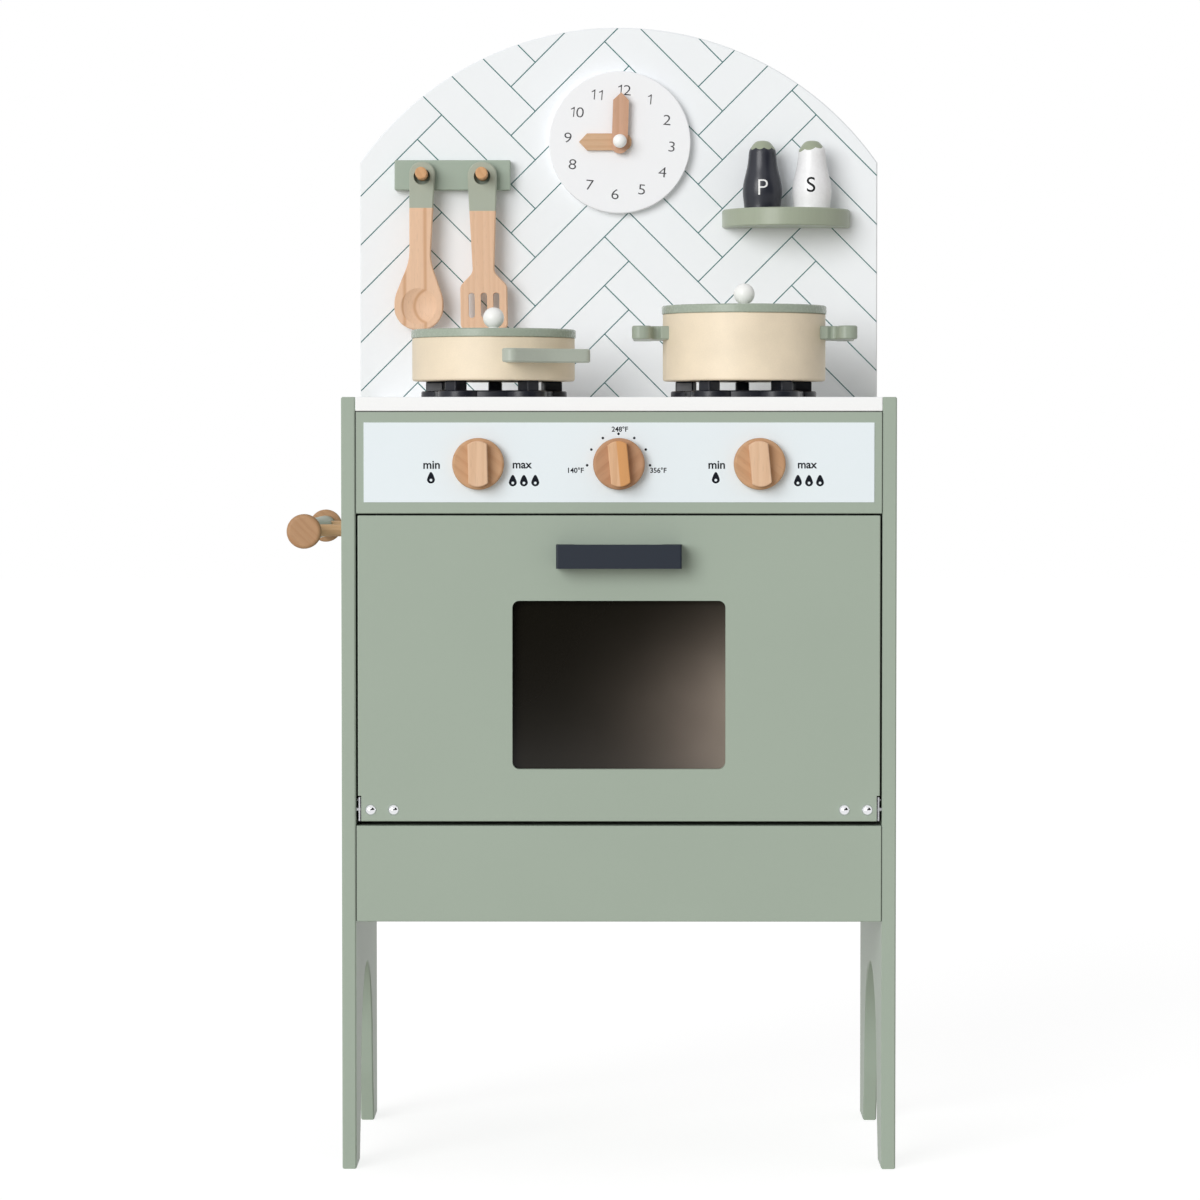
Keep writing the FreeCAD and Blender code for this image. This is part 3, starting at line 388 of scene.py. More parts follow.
bar_sides = {"X": long_side, "Y": given.out("Line Depth"), "Z": given.out("Line Width")}
bar_size = tile_web.node("ShaderNodeCombineXYZ", {}, bar_sides)
bar = tile_web.node("GeometryNodeMeshCube", {}, {"Size": bar_size})
half_bar = tile_web.node("ShaderNodeCombineXYZ", {}, {"X": long_side / 2})
bar = tile_web.node("GeometryNodeTransform", {}, {"Geometry": bar, "Translation": half_bar})
lean = tile_web.node("ShaderNodeCombineXYZ", {}, {"Y": (odd * 2 - 1) * (math.pi / 4)})
bar_sockets = {"Points": ends, "Instance": bar, "Rotation": lean}
bars = tile_web.node("GeometryNodeInstanceOnPoints", {}, bar_sockets)
bars = tile_web.node("GeometryNodeRealizeInstances", {}, {"Geometry": bars})
board = tile_web.node("GeometryNodeObjectInfo", {}, {"Object": given.out("Board")}, out="Geometry")
cut_settings = {"operation": "INTERSECT", "solver": "EXACT"}
cut = tile_web.node("GeometryNodeMeshBoolean", cut_settings, {1: [bars, board], "Self Intersection": True})
inked = tile_web.node("GeometryNodeSetMaterial", {}, {"Geometry": cut, "Material": given.out("Ink")})
tile_web.node("NodeGroupOutput", {}, {"Geometry": inked})

back_low, back_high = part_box("backsplash")
top_low, top_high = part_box("worktop")
arch_radius = (ARCH_RADIUS - ARCH_EASE) * MM
arch_middle = (back_low.x + back_high.x) / 2
arch_half = (back_high.x - back_low.x) / 2 - ARCH_EASE * MM
arch_centre = back_high.z - ARCH_RADIUS * MM
arch_turn = math.asin(arch_half / arch_radius)
board_outline = [(arch_middle + arch_half, top_high.z), (arch_middle - arch_half, top_high.z)]
for step in range(ARCH_STEPS + 1):
    turn = arch_turn * (2 * step / ARCH_STEPS - 1)
    edge_x = arch_middle + arch_radius * math.sin(turn)
    edge_z = arch_centre + arch_radius * math.cos(turn)
    board_outline.append((edge_x, edge_z))
line_front = back_low.y - LINE_PROUD * MM
line_rear = back_low.y + LINE_PROUD * MM
stencil_mesh = prism("tile_stencil", board_outline, line_front, line_rear)
stencil = bpy.data.objects.new("tile_stencil", stencil_mesh)


def ink(name, tint):
    """Printing ink: an even film, a little thin in places."""
    film = Finish(name)
    patches = film.noise(scale=260.0, detail=3.0)
    tone = film.mix(patches, shade(tint, 0.94), shade(tint, 1.08))
    return film.surface(Base_Color=tone, Roughness=0.5 + patches * 0.1, Specular_IOR_Level=0.1)


tile_ink = ink("tile_ink", TILE_LINE)
tile_first = spot(TILE_X, 0, TILE_Z)
tile_first.y = back_low.y
tile_inputs = {
    "Period": TILE_PERIOD * MM, "Pitch": TILE_PITCH * MM,
    "Line Width": LINE_WIDTH * MM, "Line Depth": 4 * LINE_PROUD * MM,
    "Columns": TILE_COLUMNS, "Rows": TILE_ROWS, "First": tile_first,
    "Board": stencil, "Ink": tile_ink,
}
tile_lines = grown("tile_lines", tiles, bpy.data.meshes.new("tile_seed"), tile_inputs)
bpy.data.objects.remove(stencil)
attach(tile_lines, "cabinet")
dress(paint("tile_board", BOARD_WHITE, roughness=0.36, cloud=0.008, stipple=0.06), "backsplash")

hardboard = Finish("hardboard")
felt = hardboard.noise(scale=900.0, detail=4.0)
blotch = hardboard.noise(scale=14.0, detail=3.0)
hard_tone = hardboard.mix(felt * 0.6 + blotch * 0.4, linear(*HARD_DARK), linear(*HARD_PALE))
hardboard.surface(Base_Color=hard_tone, Roughness=0.7, Normal=hardboard.bump(felt, strength=0.25))
dress(hardboard.material, "rear_panel")


# Screws: zinc-plated countersunk screws with a cross recess, driven flush through the side panels,
# the back, the worktop's underside, the window and the door.
HEAD_RADIUS = 3.5
SHANK_RADIUS = 1.75
RECESS_REACH = 2.0
RECESS_HALF = 0.45
RECESS_DEPTH = 1.5
RECESS_TAPER = 0.55
HEAD_STEPS = 24
SCREW_LENGTHS = {"side": 34, "long": 30, "rail": 17, "clock": 15, "burner": 16, "window": 8, "handle": 24}
ZINC = (196, 197, 200)


def plated(name, tint, roughness, scratch):
    """Plated metal: a fine cloudy lustre with faint polishing marks."""
    metal = Finish(name)
    marks = metal.noise(scale=1500.0, detail=2.0)
    gloss = roughness + marks * scratch
    tone = metal.mix(marks, shade(tint, 0.96), shade(tint, 1.02))
    return metal.surface(Base_Color=tone, Roughness=gloss, Metallic=1.0)


def screw_mesh(name, length):
    """Screw along +Z with its head's face at the origin and its point below."""
    shape = bmesh.new()
    rim = []
    for step in range(HEAD_STEPS):
        turn = 2 * math.pi * step / HEAD_STEPS
        rim.append((math.cos(turn) * HEAD_RADIUS, math.sin(turn) * HEAD_RADIUS))
    cross = []
    arm = ((RECESS_REACH, -RECESS_HALF), (RECESS_REACH, RECESS_HALF), (RECESS_HALF, RECESS_HALF))
    for quarter in range(4):
        turn = quarter * math.pi / 2
        for u, v in arm:
            x = u * math.cos(turn) - v * math.sin(turn)
            y = u * math.sin(turn) + v * math.cos(turn)
            cross.append((x, y))

    def loop(points, share, depth):
        return [shape.verts.new((x * share * MM, y * share * MM, -depth * MM)) for x, y in points]

    def wall(upper, lower):
        for here in range(len(upper)):
            there = (here + 1) % len(upper)
            shape.faces.new((upper[here], upper[there], lower[there], lower[here]))

    head = loop(rim, 1.0, 0.0)
    neck = loop(rim, SHANK_RADIUS / HEAD_RADIUS, HEAD_RADIUS - SHANK_RADIUS)
    tip = loop(rim, SHANK_RADIUS / HEAD_RADIUS, length)
    mouth = loop(cross, 1.0, 0.0)
    pit = loop(cross, RECESS_TAPER, RECESS_DEPTH)
    wall(head, neck)
    wall(neck, tip)
    wall(mouth, pit)
    shape.faces.new(tip)
    shape.faces.new(pit)
    open_edges = [edge for edge in shape.edges if len(edge.link_faces) == 1]
    face_edges = [edge for edge in open_edges if edge.verts[0] in head + mouth]
    bmesh.ops.triangle_fill(shape, edges=face_edges, use_beauty=True)
    bmesh.ops.recalc_face_normals(shape, faces=shape.faces)
    mesh = bpy.data.meshes.new(name)
    shape.to_mesh(mesh)
    shape.free()
    return mesh


stamps = bpy.data.node_groups.new("stamped_on_points", "GeometryNodeTree")
stamps.interface.new_socket("Geometry", in_out="INPUT", socket_type="NodeSocketGeometry")
add_input(stamps, "Stamp", "NodeSocketObject")
add_input(stamps, "Turn", "NodeSocketVector")
add_input(stamps, "Finish", "NodeSocketMaterial")
stamps.interface.new_socket("Geometry", in_out="OUTPUT", socket_type="NodeSocketGeometry")
stamp_web = Web(stamps)
stamp_given = stamp_web.node("NodeGroupInput", out="Geometry")
stamp_object = {"Object": stamp_given.out("Stamp")}
stamp_shape = stamp_web.node("GeometryNodeObjectInfo", {}, stamp_object, out="Geometry")
stamp_sockets = {"Points": stamp_given, "Instance": stamp_shape, "Rotation": stamp_given.out("Turn")}
stamped_all = stamp_web.node("GeometryNodeInstanceOnPoints", {}, stamp_sockets)
stamped_all = stamp_web.node("GeometryNodeRealizeInstances", {}, {"Geometry": stamped_all})
stamp_sockets = {"Geometry": stamped_all, "Material": stamp_given.out("Finish")}
stamped_all = stamp_web.node("GeometryNodeSetMaterial", {}, stamp_sockets)
stamp_web.node("NodeGroupOutput", {}, {"Geometry": stamped_all})


def stamped(name, mesh, points, turn, material):
    """Copies of a mesh set at points, all turned alike."""
    stamp = bpy.data.objects.new(name + "_stamp", mesh)
    dots = bpy.data.meshes.new(name + "_points")
    dots.from_pydata(points, [], [])
    piece = grown(name, stamps, dots, {"Stamp": stamp, "Turn": turn, "Finish": material})
    bpy.data.objects.remove(stamp)
    return piece


def joined(name, pieces):
    """One piece out of several, in one mesh."""
    shape = bmesh.new()
    for piece in pieces:
        shape.from_mesh(piece.data)
    mesh = bpy.data.meshes.new(name)
    shape.to_mesh(mesh)
    shape.free()
    mesh.materials.append(pieces[0].data.materials[0])
    for piece in pieces:
        bpy.data.objects.remove(piece)
    whole = bpy.data.objects.new(name, mesh)
    scene.collection.objects.link(whole)
    return whole


zinc = plated("zinc", ZINC, roughness=0.3, scratch=0.12)
TOWARDS = {
    "left": (0, -math.pi / 2, 0),
    "right": (0, math.pi / 2, 0),
    "rear": (-math.pi / 2, 0, 0),
    "down": (math.pi, 0, 0),
}

# Side screws go through each side panel into the edges of the boards between the two.
SIDE_FACE = 215
SIDE_DEPTHS = (60, 228)
UPRIGHT_DEPTH = 5.5
floor_low, floor_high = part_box("oven_floor")
kick_low, kick_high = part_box("kick_panel")
floor_middle = (floor_low.z + floor_high.z) / 2 / MM
worktop_middle = (top_low.z + top_high.z) / 2 / MM
kick_middle = (kick_low.z + kick_high.z) / 2 / MM
panel_middle = (panel_low.z + panel_high.z) / 2 / MM
side_spots = [(y, z) for z in (worktop_middle, floor_middle) for y in SIDE_DEPTHS]
side_spots += [(UPRIGHT_DEPTH, panel_middle), (UPRIGHT_DEPTH, kick_middle)]
side_mesh = screw_mesh("side_screw", SCREW_LENGTHS["side"])
side_screws = []
for side, x in (("left", -SIDE_FACE), ("right", SIDE_FACE)):
    points = [spot(x, y, z) for y, z in side_spots]
    side_screws.append(stamped(side + "_screws", side_mesh, points, TOWARDS[side], zinc))

# Back screws: long ones into the side panels and the shelf, shorter ones into the rail and the clock.
BACK_REAR = 297
PANEL_REAR = 292
SIDE_MIDDLE = 209.5
BACK_HEIGHTS = (565, 505)
PANEL_HEIGHTS = (435, 302.7)
SHELF_X, SHELF_Z, SHELF_REACH = 140.4, 752.4, 30
RAIL_X, RAIL_Z, RAIL_REACH = -139, 788.7, 38.95
CLOCK_X, CLOCK_Z, CLOCK_REACH = 0.9, 816.3, 30


def pair(x, y, z, reach):
    """Two points side by side, each this far from the middle between them."""
    return [spot(x - reach, y, z), spot(x + reach, y, z)]


long_points = [spot(x, BACK_REAR, z) for x in (-SIDE_MIDDLE, SIDE_MIDDLE) for z in BACK_HEIGHTS]
long_points += [spot(x, PANEL_REAR, z) for x in (-SIDE_MIDDLE, SIDE_MIDDLE) for z in PANEL_HEIGHTS]
long_points += pair(SHELF_X, BACK_REAR, SHELF_Z, SHELF_REACH)
rail_points = pair(RAIL_X, BACK_REAR, RAIL_Z, RAIL_REACH)
clock_points = pair(CLOCK_X, BACK_REAR, CLOCK_Z, CLOCK_REACH)
back_screws = []
for name, points in (("long", long_points), ("rail", rail_points), ("clock", clock_points)):
    mesh = screw_mesh(name + "_screw", SCREW_LENGTHS[name])
    back_screws.append(stamped(name + "_screws", mesh, points, TOWARDS["rear"], zinc))

# Screws under the worktop hold the burners, and screws in the back of the door its window and handle.
BURNER_X, BURNER_Y, BURNER_REACH = 101, 144, 25
WORKTOP_UNDER = 589
DOOR_REAR = 11
WINDOW_REACH = 87.6
WINDOW_HEIGHTS = (306.6, 447.3)
HANDLE_REACH, HANDLE_Z = 41.4, 476.9
burner_points = []
for x in (-BURNER_X, BURNER_X):
    burner_points += pair(x, BURNER_Y, WORKTOP_UNDER, BURNER_REACH)
window_points = [spot(x, DOOR_REAR, z) for x in (-WINDOW_REACH, WINDOW_REACH) for z in WINDOW_HEIGHTS]
handle_points = pair(0, DOOR_REAR, HANDLE_Z, HANDLE_REACH)
side_set = joined("side_screw_set", side_screws)
back_set = joined("back_screw_set", back_screws)
burner_mesh = screw_mesh("burner_screw", SCREW_LENGTHS["burner"])
burner_set = stamped("burner_screw_set", burner_mesh, burner_points, TOWARDS["down"], zinc)
window_mesh = screw_mesh("window_screw", SCREW_LENGTHS["window"])
window_set = stamped("window_screw_set", window_mesh, window_points, TOWARDS["rear"], zinc)
handle_mesh = screw_mesh("handle_screw", SCREW_LENGTHS["handle"])
handle_set = stamped("handle_screw_set", handle_mesh, handle_points, TOWARDS["rear"], zinc)
screw_sets = (
    ("side_panel_screws", side_set, "cabinet"),
    ("back_screws", back_set, "cabinet"),
    ("burner_screws", burner_set, "cabinet"),
    ("window_screws", window_set, "oven_door"),
    ("door_handle_screws", handle_set, "oven_door"),
)
for node, piece, body in screw_sets:
    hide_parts(node)
    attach(piece, body)


# Burners: each one dark moulding, a plate with five lobes and five raised rests for a pan.
# It lies on the worktop, held by two screws from below.
BURNER = (22, 25, 35)
burner_finish = Finish("burner_moulding")
spark = burner_finish.noise(scale=1300.0, detail=2.0)
burner_tone = burner_finish.mix(spark, shade(BURNER, 0.9), shade(BURNER, 1.12))
burner_skin = burner_finish.bump(spark, strength=0.2)
burner_gloss = 0.26 + spark * 0.12
burner_finish.surface(Base_Color=burner_tone, Roughness=burner_gloss, Specular_IOR_Level=0.4,
                      Normal=burner_skin)
dress(burner_finish.material, "left_burner", "right_burner")


# Control fascia: a thin pale sheet glued on the control panel, printed with min and max flames for the
# burners and a ring of dots with temperatures for the oven.
FASCIA = (236, 245, 250)
PRINT_INK = (15, 19, 29)
PRINT_PROUD = 0.03
LETTER_DEPTH = 0.01
WELD = 1e-5
fascia_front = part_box("control_fascia")[0].y
fascia_sheet = Finish("fascia_sheet")
film = fascia_sheet.noise(scale=500.0, detail=2.0)
haze = fascia_sheet.noise(scale=11.0, detail=2.0)
film_tone = fascia_sheet.mix(haze * 0.8 + film * 0.2, shade(FASCIA, 0.985), shade(FASCIA, 1.01))
film_skin = fascia_sheet.bump(film, strength=0.05)
fascia_sheet.surface(Base_Color=film_tone, Roughness=0.34 + film * 0.06, Normal=film_skin)
dress(fascia_sheet.material, "control_fascia")
print_ink = ink("print_ink", PRINT_INK)


def lettering(name, words, size, by_width, bold=0.0, spread=1.0):
    """Flat lettering in the x-z plane about its own middle, sized in millimetres.

    size is its width or its height. bold thickens the strokes, or thins them below zero, and spread
    widens the letters."""
    curve = bpy.data.curves.new(name, "FONT")
    curve.body = words
    curve.offset = bold
    curve.extrude = LETTER_DEPTH
    holder = bpy.data.objects.new(name, curve)
    scene.collection.objects.link(holder)
    graph = bpy.context.evaluated_depsgraph_get()
    mesh = bpy.data.meshes.new_from_object(holder.evaluated_get(graph), depsgraph=graph)
    bpy.data.objects.remove(holder)
    shape = bmesh.new()
    shape.from_mesh(mesh)
    bmesh.ops.remove_doubles(shape, verts=shape.verts, dist=WELD)
    reach = [(min(v.co[i] for v in shape.verts), max(v.co[i] for v in shape.verts)) for i in range(3)]
    wide, tall, deep = (high - low for low, high in reach)
    share = size * MM / (wide if by_width else tall)
    for v in shape.verts:
        x = (v.co.x - sum(reach[0]) / 2) * share * spread
        z = (v.co.y - sum(reach[1]) / 2) * share
        y = -PRINT_PROUD * MM * 2 * (v.co.z - reach[2][0]) / deep + PRINT_PROUD * MM
        v.co = (x, y, z)
    shape.to_mesh(mesh)
    shape.free()
    return mesh


def printed(name, meshes, material):
    """Several placed prints as one piece: (mesh, middle, clockwise turn in degrees) each."""
    shape = bmesh.new()
    for mesh, middle, turn in meshes:
        mesh.transform(Matrix.Translation(middle) @ Matrix.Rotation(math.radians(turn), 4, "Y"))
        shape.from_mesh(mesh)
    whole = bpy.data.meshes.new(name)
    shape.to_mesh(whole)
    shape.free()
    whole.materials.append(material)
    piece = bpy.data.objects.new(name, whole)
    scene.collection.objects.link(piece)
    return piece


def on_fascia(x, z):
    middle = spot(x, 0, z)
    middle.y = fascia_front
    return middle


WORD_BOLD = 0.022
WORDS = (
    ("min", 12.8, -144.9, 547.5),
    ("max", 14.9, -74.7, 546.9),
    ("min", 12.8, 75.6, 547.5),
    ("max", 14.9, 145.8, 546.9),
    ("140°F", 12.2, -33.3, 543.4),
    ("248°F", 12.6, 0.7, 575.2),
    ("356°F", 12.6, 30.5, 543.4),
)
words = []
for text, width, x, z in WORDS:
    words.append((lettering("word", text, width, True, WORD_BOLD), on_fascia(x, z), 0))
fascia_words = printed("fascia_words", words, print_ink)

DROP_TALL = 8.9
DROP_RADIUS = 3.1
DROP_NARROW = 0.3
DROP_POINT = 1.6
DROP_HOLE = 1.05
DROP_HOLE_Z = -0.5
DROP_STEPS = 28
DROP_SPOTS = (
    (-145.4, 536.2), (-82.1, 534.0), (-73.5, 534.0), (-64.7, 534.0),
    (74.9, 536.2), (138.4, 534.0), (147.0, 534.0), (155.5, 534.0),
)
drop_shape = bmesh.new()
drop_edge = []
hole_edge = []
for step in range(DROP_STEPS):
    turn = 2 * math.pi * step / DROP_STEPS
    upward = max(0.0, math.cos(turn))
    edge_x = math.sin(turn) * DROP_RADIUS * (1 - DROP_NARROW * upward)
    edge_z = math.cos(turn) * DROP_RADIUS + (DROP_TALL - 2 * DROP_RADIUS) * upward ** DROP_POINT
    drop_edge.append((edge_x, edge_z))
    hole_edge.append((math.sin(turn) * DROP_HOLE, math.cos(turn) * DROP_HOLE + DROP_HOLE_Z))
rings = []
for depth in (-PRINT_PROUD, PRINT_PROUD):
    for edge in (drop_edge, hole_edge):
        rings.append([drop_shape.verts.new((x * MM, depth * MM, z * MM)) for x, z in edge])
for outer, inner in ((0, 1), (2, 3), (0, 2), (1, 3)):
    for here in range(DROP_STEPS):
        there = (here + 1) % DROP_STEPS
        corners = (rings[outer][here], rings[outer][there], rings[inner][there], rings[inner][here])
        drop_shape.faces.new(corners)
bmesh.ops.recalc_face_normals(drop_shape, faces=drop_shape.faces)
drop_mesh = bpy.data.meshes.new("flame_drop")
drop_shape.to_mesh(drop_mesh)
drop_shape.free()
drop_points = [on_fascia(x, z) for x, z in DROP_SPOTS]
flame_drops = stamped("flame_drops", drop_mesh, drop_points, (0, 0, 0), print_ink)

DOT_COUNT = 7
DOT_TURN = 30
DOT_RING = 24.3
DOT_RING_X = -0.3
DOT_RING_Z = 547.2
DOT_RADIUS = 1.0
DOT_STEPS = 16
dot_outline = []
for step in range(DOT_STEPS):
    turn = 2 * math.pi * step / DOT_STEPS
    dot_outline.append((math.cos(turn) * DOT_RADIUS * MM, math.sin(turn) * DOT_RADIUS * MM))
dot_mesh = prism("heat_dot", dot_outline, -PRINT_PROUD * MM, PRINT_PROUD * MM)
dot_points = []
for step in range(DOT_COUNT):
    turn = math.radians(DOT_TURN * step)
    dot_x = DOT_RING_X + DOT_RING * math.cos(turn)
    dot_z = DOT_RING_Z + DOT_RING * math.sin(turn)
    dot_points.append(on_fascia(dot_x, dot_z))
heat_dots = stamped("heat_dots", dot_mesh, dot_points, (0, 0, 0), print_ink)
for piece in (fascia_words, flame_drops, heat_dots):
    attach(piece, "cabinet")


# Knobs: a turned beech disc with a paler grip glued across it, on an axle screw through the control panel.
# The middle grip was cut across the edge of the heartwood, so its right half is darker.
DISC_WOOD = (199, 157, 120)
# The middle disc's beech is written darker than the other two, painted shade for its grip's shadow.
MIDDLE_WOOD_SHADED = (188, 144, 110)
GRIP_WOOD = (228, 191, 158)
SAPWOOD = (222, 178, 139)
HEARTWOOD = (211, 153, 97)
HEART_TURN = 5.5
HEART_WANDER = 0.8
HEART_BEFORE, HEART_AFTER = 0.4, 0.6
KNOB_Z = 548.3
DRAWN_OUT = 0.045
ACROSS = {"X": (DRAWN_OUT, 1, 1), "Y": (1, DRAWN_OUT, 1), "Z": (1, 1, DRAWN_OUT)}
LAYERED = {"X": ("Z", "Y"), "Y": ("X", "Z"), "Z": ("X", "Y")}
LATEWOOD = 5.5
LATE_PEAK = 0.85
LATE_TINT = (0.88, 0.8, 0.71)
FLECK_FROM, FLECK_FULL = 0.62, 0.74
FLECK_STRENGTH = 0.35
DIP_BLEED = 0.2
PAINT_EDGE = 0.1


def beech(name, tint, along, contrast=0.06, shift=0.0, ring=7.0, late=0.3, wave=2.4, slope=0.7, lean=0.0,
          heart=None, dip=None):
    """Sealed beech with fibres along one axis, growth rings of a given spacing and short dark flecks.

    late is the strength of each ring's dark latewood, wave the rings' waviness and slope how far they move
    aside with depth. lean turns the fibres by some degrees in the front's plane, heart is (tint, x, lean)
    for heartwood right of a line, and dip is (tint, z) for paint above a level."""
    timber = Finish(name)
    sockets = {"Vector": timber.place, "Angle": math.radians(lean)}
    laid = timber.node("ShaderNodeVectorRotate", {"rotation_type": "Y_AXIS"}, sockets)
    sockets = {"Vector": laid, "Location": (shift, shift * 2, shift * 3), "Scale": ACROSS[along]}
    drawn = timber.node("ShaderNodeMapping", {}, sockets)
    fibres = timber.noise(scale=1100.0, detail=4.0, vector=drawn)
    bands = timber.noise(scale=170.0, detail=2.0, vector=drawn)
    flecks = timber.noise(scale=2100.0, detail=1.0, vector=drawn)
    flecks = timber.ease(flecks, FLECK_FROM, FLECK_FULL)
    tone = timber.mix(bands * 0.65 + fibres * 0.35, shade(tint, 1 - contrast), shade(tint, 1 + contrast))
    tone = timber.mix(flecks * FLECK_STRENGTH, tone, shade(tint, 0.78))
    wander = timber.noise(scale=60.0, detail=2.0, vector=drawn)
    first, second = LAYERED[along]
    level = timber.axis(first, laid) + timber.axis(second, laid) * slope
    layer = level / (ring * MM) + wander * wave + shift
    turn = layer.maths("FRACT", layer)
    rising = timber.ease(turn, max(0.0, 1 - LATEWOOD / ring), LATE_PEAK)
    latewood = rising * (1 - timber.ease(turn, LATE_PEAK, 1.0))
    late_tone = linear(*(level * share for level, share in zip(tint, LATE_TINT)))
    tone = timber.mix(latewood * late, tone, late_tone)
    if heart:
        heart_tint, heart_x, heart_lean = heart
        edge = timber.axis("X") + timber.axis("Z") * heart_lean + bands * (HEART_WANDER * MM)
        heart_tone = timber.mix(bands, shade(heart_tint, 0.95), shade(heart_tint, 1.05))
        inside = timber.ease(edge, heart_x - HEART_BEFORE * MM, heart_x + HEART_AFTER * MM)
        tone = timber.mix(inside, tone, heart_tone)
    gloss = 0.48 + fibres * 0.1
    relief = fibres
    if dip:
        dip_tint, dip_z = dip
        height = timber.axis("Z") + fibres * (DIP_BLEED * MM)
        coated = timber.ease(height, dip_z - PAINT_EDGE * MM, dip_z + PAINT_EDGE * MM)
        coat = timber.mix(bands, shade(dip_tint, 0.985), shade(dip_tint, 1.015))
        tone = timber.mix(coated, tone, coat)
        relief = fibres * (1 - coated * 0.7)
    skin = timber.bump(relief, strength=0.14)
    return timber.surface(Base_Color=tone, Roughness=gloss, Specular_IOR_Level=0.3, Normal=skin)


disc_beech = beech("disc_beech", DISC_WOOD, "X", contrast=0.05, ring=8.0, lean=-38.0)
middle_beech_shaded = beech("middle_disc_beech", MIDDLE_WOOD_SHADED, "X", contrast=0.05, shift=0.4, ring=9.0, lean=40.0)
grip_beech = beech("grip_beech", GRIP_WOOD, "Z", contrast=0.035, shift=0.3, late=0.2)
knob_middle = spot(0, 0, KNOB_Z)
heart_slope = math.tan(math.radians(HEART_TURN))
heart_line = (HEARTWOOD, knob_middle.x + knob_middle.z * heart_slope, heart_slope)
heart_beech = beech("heart_beech", SAPWOOD, "Z", contrast=0.05, shift=0.7, heart=heart_line)
dress(disc_beech, "left_knob_disc", "right_knob_disc")
dress(middle_beech_shaded, "middle_knob_disc")
dress(grip_beech, "left_knob_grip", "right_knob_grip")
dress(heart_beech, "middle_knob_grip")
dress(zinc, "left_knob_axle", "middle_knob_axle", "right_knob_axle", "knob_washers")


# Oven door: a painted board that drops open on two pivot brackets, with a dark glossy window let in
# from behind and a charcoal bar handle. Domed bolts and nuts hold the brackets, and a magnet catches
# the door's steel plate.
CHARCOAL = (28, 36, 48)
CHROME = (232, 233, 236)
SMOKE_DARK = (22, 20, 15)
# The window's pale tone is a painted reflection laid over its dark smoke.
REFLECTION_PALE = (138, 126, 116)
REFLECTION_SWEEP_POWER = 2.4
REFLECTION_POWER = 1.75
HOUSING_DARK, HOUSING_PALE = (218, 218, 215), (232, 232, 230)
MAGNET_DARK, MAGNET_PALE = (30, 29, 28), (44, 42, 41)
MAGNET_DEEP = 6.0
MAGNET_EDGE = 0.05
smoke_and_reflection = Finish("window_smoke_and_painted_reflection")
window_low, window_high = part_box("oven_window")
window_wide = window_high.x - window_low.x
window_tall = window_high.z - window_low.z
# Painted reflection: the colour pales towards the right and the bottom and fades towards the top, with a
# wispy edge.
to_right = (smoke_and_reflection.axis("X") - window_low.x) / window_wide
to_top = (smoke_and_reflection.axis("Z") - window_low.z) / window_tall
wisps = smoke_and_reflection.noise(scale=9.0, detail=3.0)
drift = to_right + wisps * 0.2 - 0.1
reflection_sweep = drift.maths("POWER", drift.maths("MAXIMUM", drift, 0.0), REFLECTION_SWEEP_POWER)
reflection_fade_top = smoke_and_reflection.ease(to_top, 0.4, 1.05) * 0.7
glow = reflection_sweep * (1 - reflection_fade_top) + (1 - to_top) * (1 - to_top) * 0.16
reflection_share = glow.maths("POWER", glow.maths("MINIMUM", glow, 1.0), REFLECTION_POWER)
smoke_and_reflection_tone = smoke_and_reflection.mix(reflection_share, linear(*SMOKE_DARK), linear(*REFLECTION_PALE))
smoke_and_reflection.surface(Base_Color=smoke_and_reflection_tone, Roughness=0.09 + wisps * 0.04, Specular_IOR_Level=0.3)
charcoal_paint = paint("charcoal_paint", CHARCOAL, roughness=0.45, cloud=0.03)
chrome = plated("chrome", CHROME, roughness=0.06, scratch=0.05)
catch = Finish("catch_plastic")
speckle = catch.noise(scale=700.0, detail=2.0)
housing_tone = catch.mix(speckle, linear(*HOUSING_DARK), linear(*HOUSING_PALE))
magnet_tone = catch.mix(speckle, linear(*MAGNET_DARK), linear(*MAGNET_PALE))
magnet_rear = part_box("door_catch")[0].y + MAGNET_DEEP * MM
housing = catch.ease(catch.axis("Y"), magnet_rear - MAGNET_EDGE * MM, magnet_rear + MAGNET_EDGE * MM)
catch_tone = catch.mix(housing, magnet_tone, housing_tone)
catch_skin = catch.bump(speckle, strength=0.08)
catch.surface(Base_Color=catch_tone, Roughness=0.35 + speckle * 0.1, Normal=catch_skin)
dress(sage_paint, "door_panel")
dress(smoke_and_reflection.material, "oven_window")
dress(charcoal_paint, "door_handle")
dress(chrome, "hinge_bolts")
dress(zinc, "hinge_brackets", "hinge_nuts", "hinge_pins", "door_stop_pins", "door_catch_plate")
dress(catch.material, "door_catch")


# Clock: a white painted disc with thin grey numerals, screwed on from behind, and two beech hands on a
# pin with a white ball head. The dial sits turned by a few degrees, and its numerals with it.
DIAL = (246, 247, 250)
HOUR_WOOD = (210, 173, 139)
MINUTE_WOOD = (206, 164, 137)
BALL = (253, 253, 251)
NUMERAL = (74, 74, 77)
NUMERAL_RING = 43.6
NUMERAL_TALL = 8.4
NUMERAL_BOLD = -0.008
NUMERAL_SPREAD = 1.2
DIGIT_PLACES = (-0.44, 0.3)
FLAGGED_ONE = (
    (0.18, -0.5), (0.18, 0.5), (0.1, 0.5), (-0.02, 0.38),
    (-0.18, 0.3), (-0.18, 0.2), (0.08, 0.31), (0.08, -0.5),
)
HOUR_TURN = 30
DIAL_TURN = 5.0
dial_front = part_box("clock_dial")[0].y
dress(paint("dial_paint", DIAL, roughness=0.5, cloud=0.006, stipple=0.05), "clock_dial")
dress(beech("hour_beech", HOUR_WOOD, "X", contrast=0.06, shift=0.9), "hour_hand")
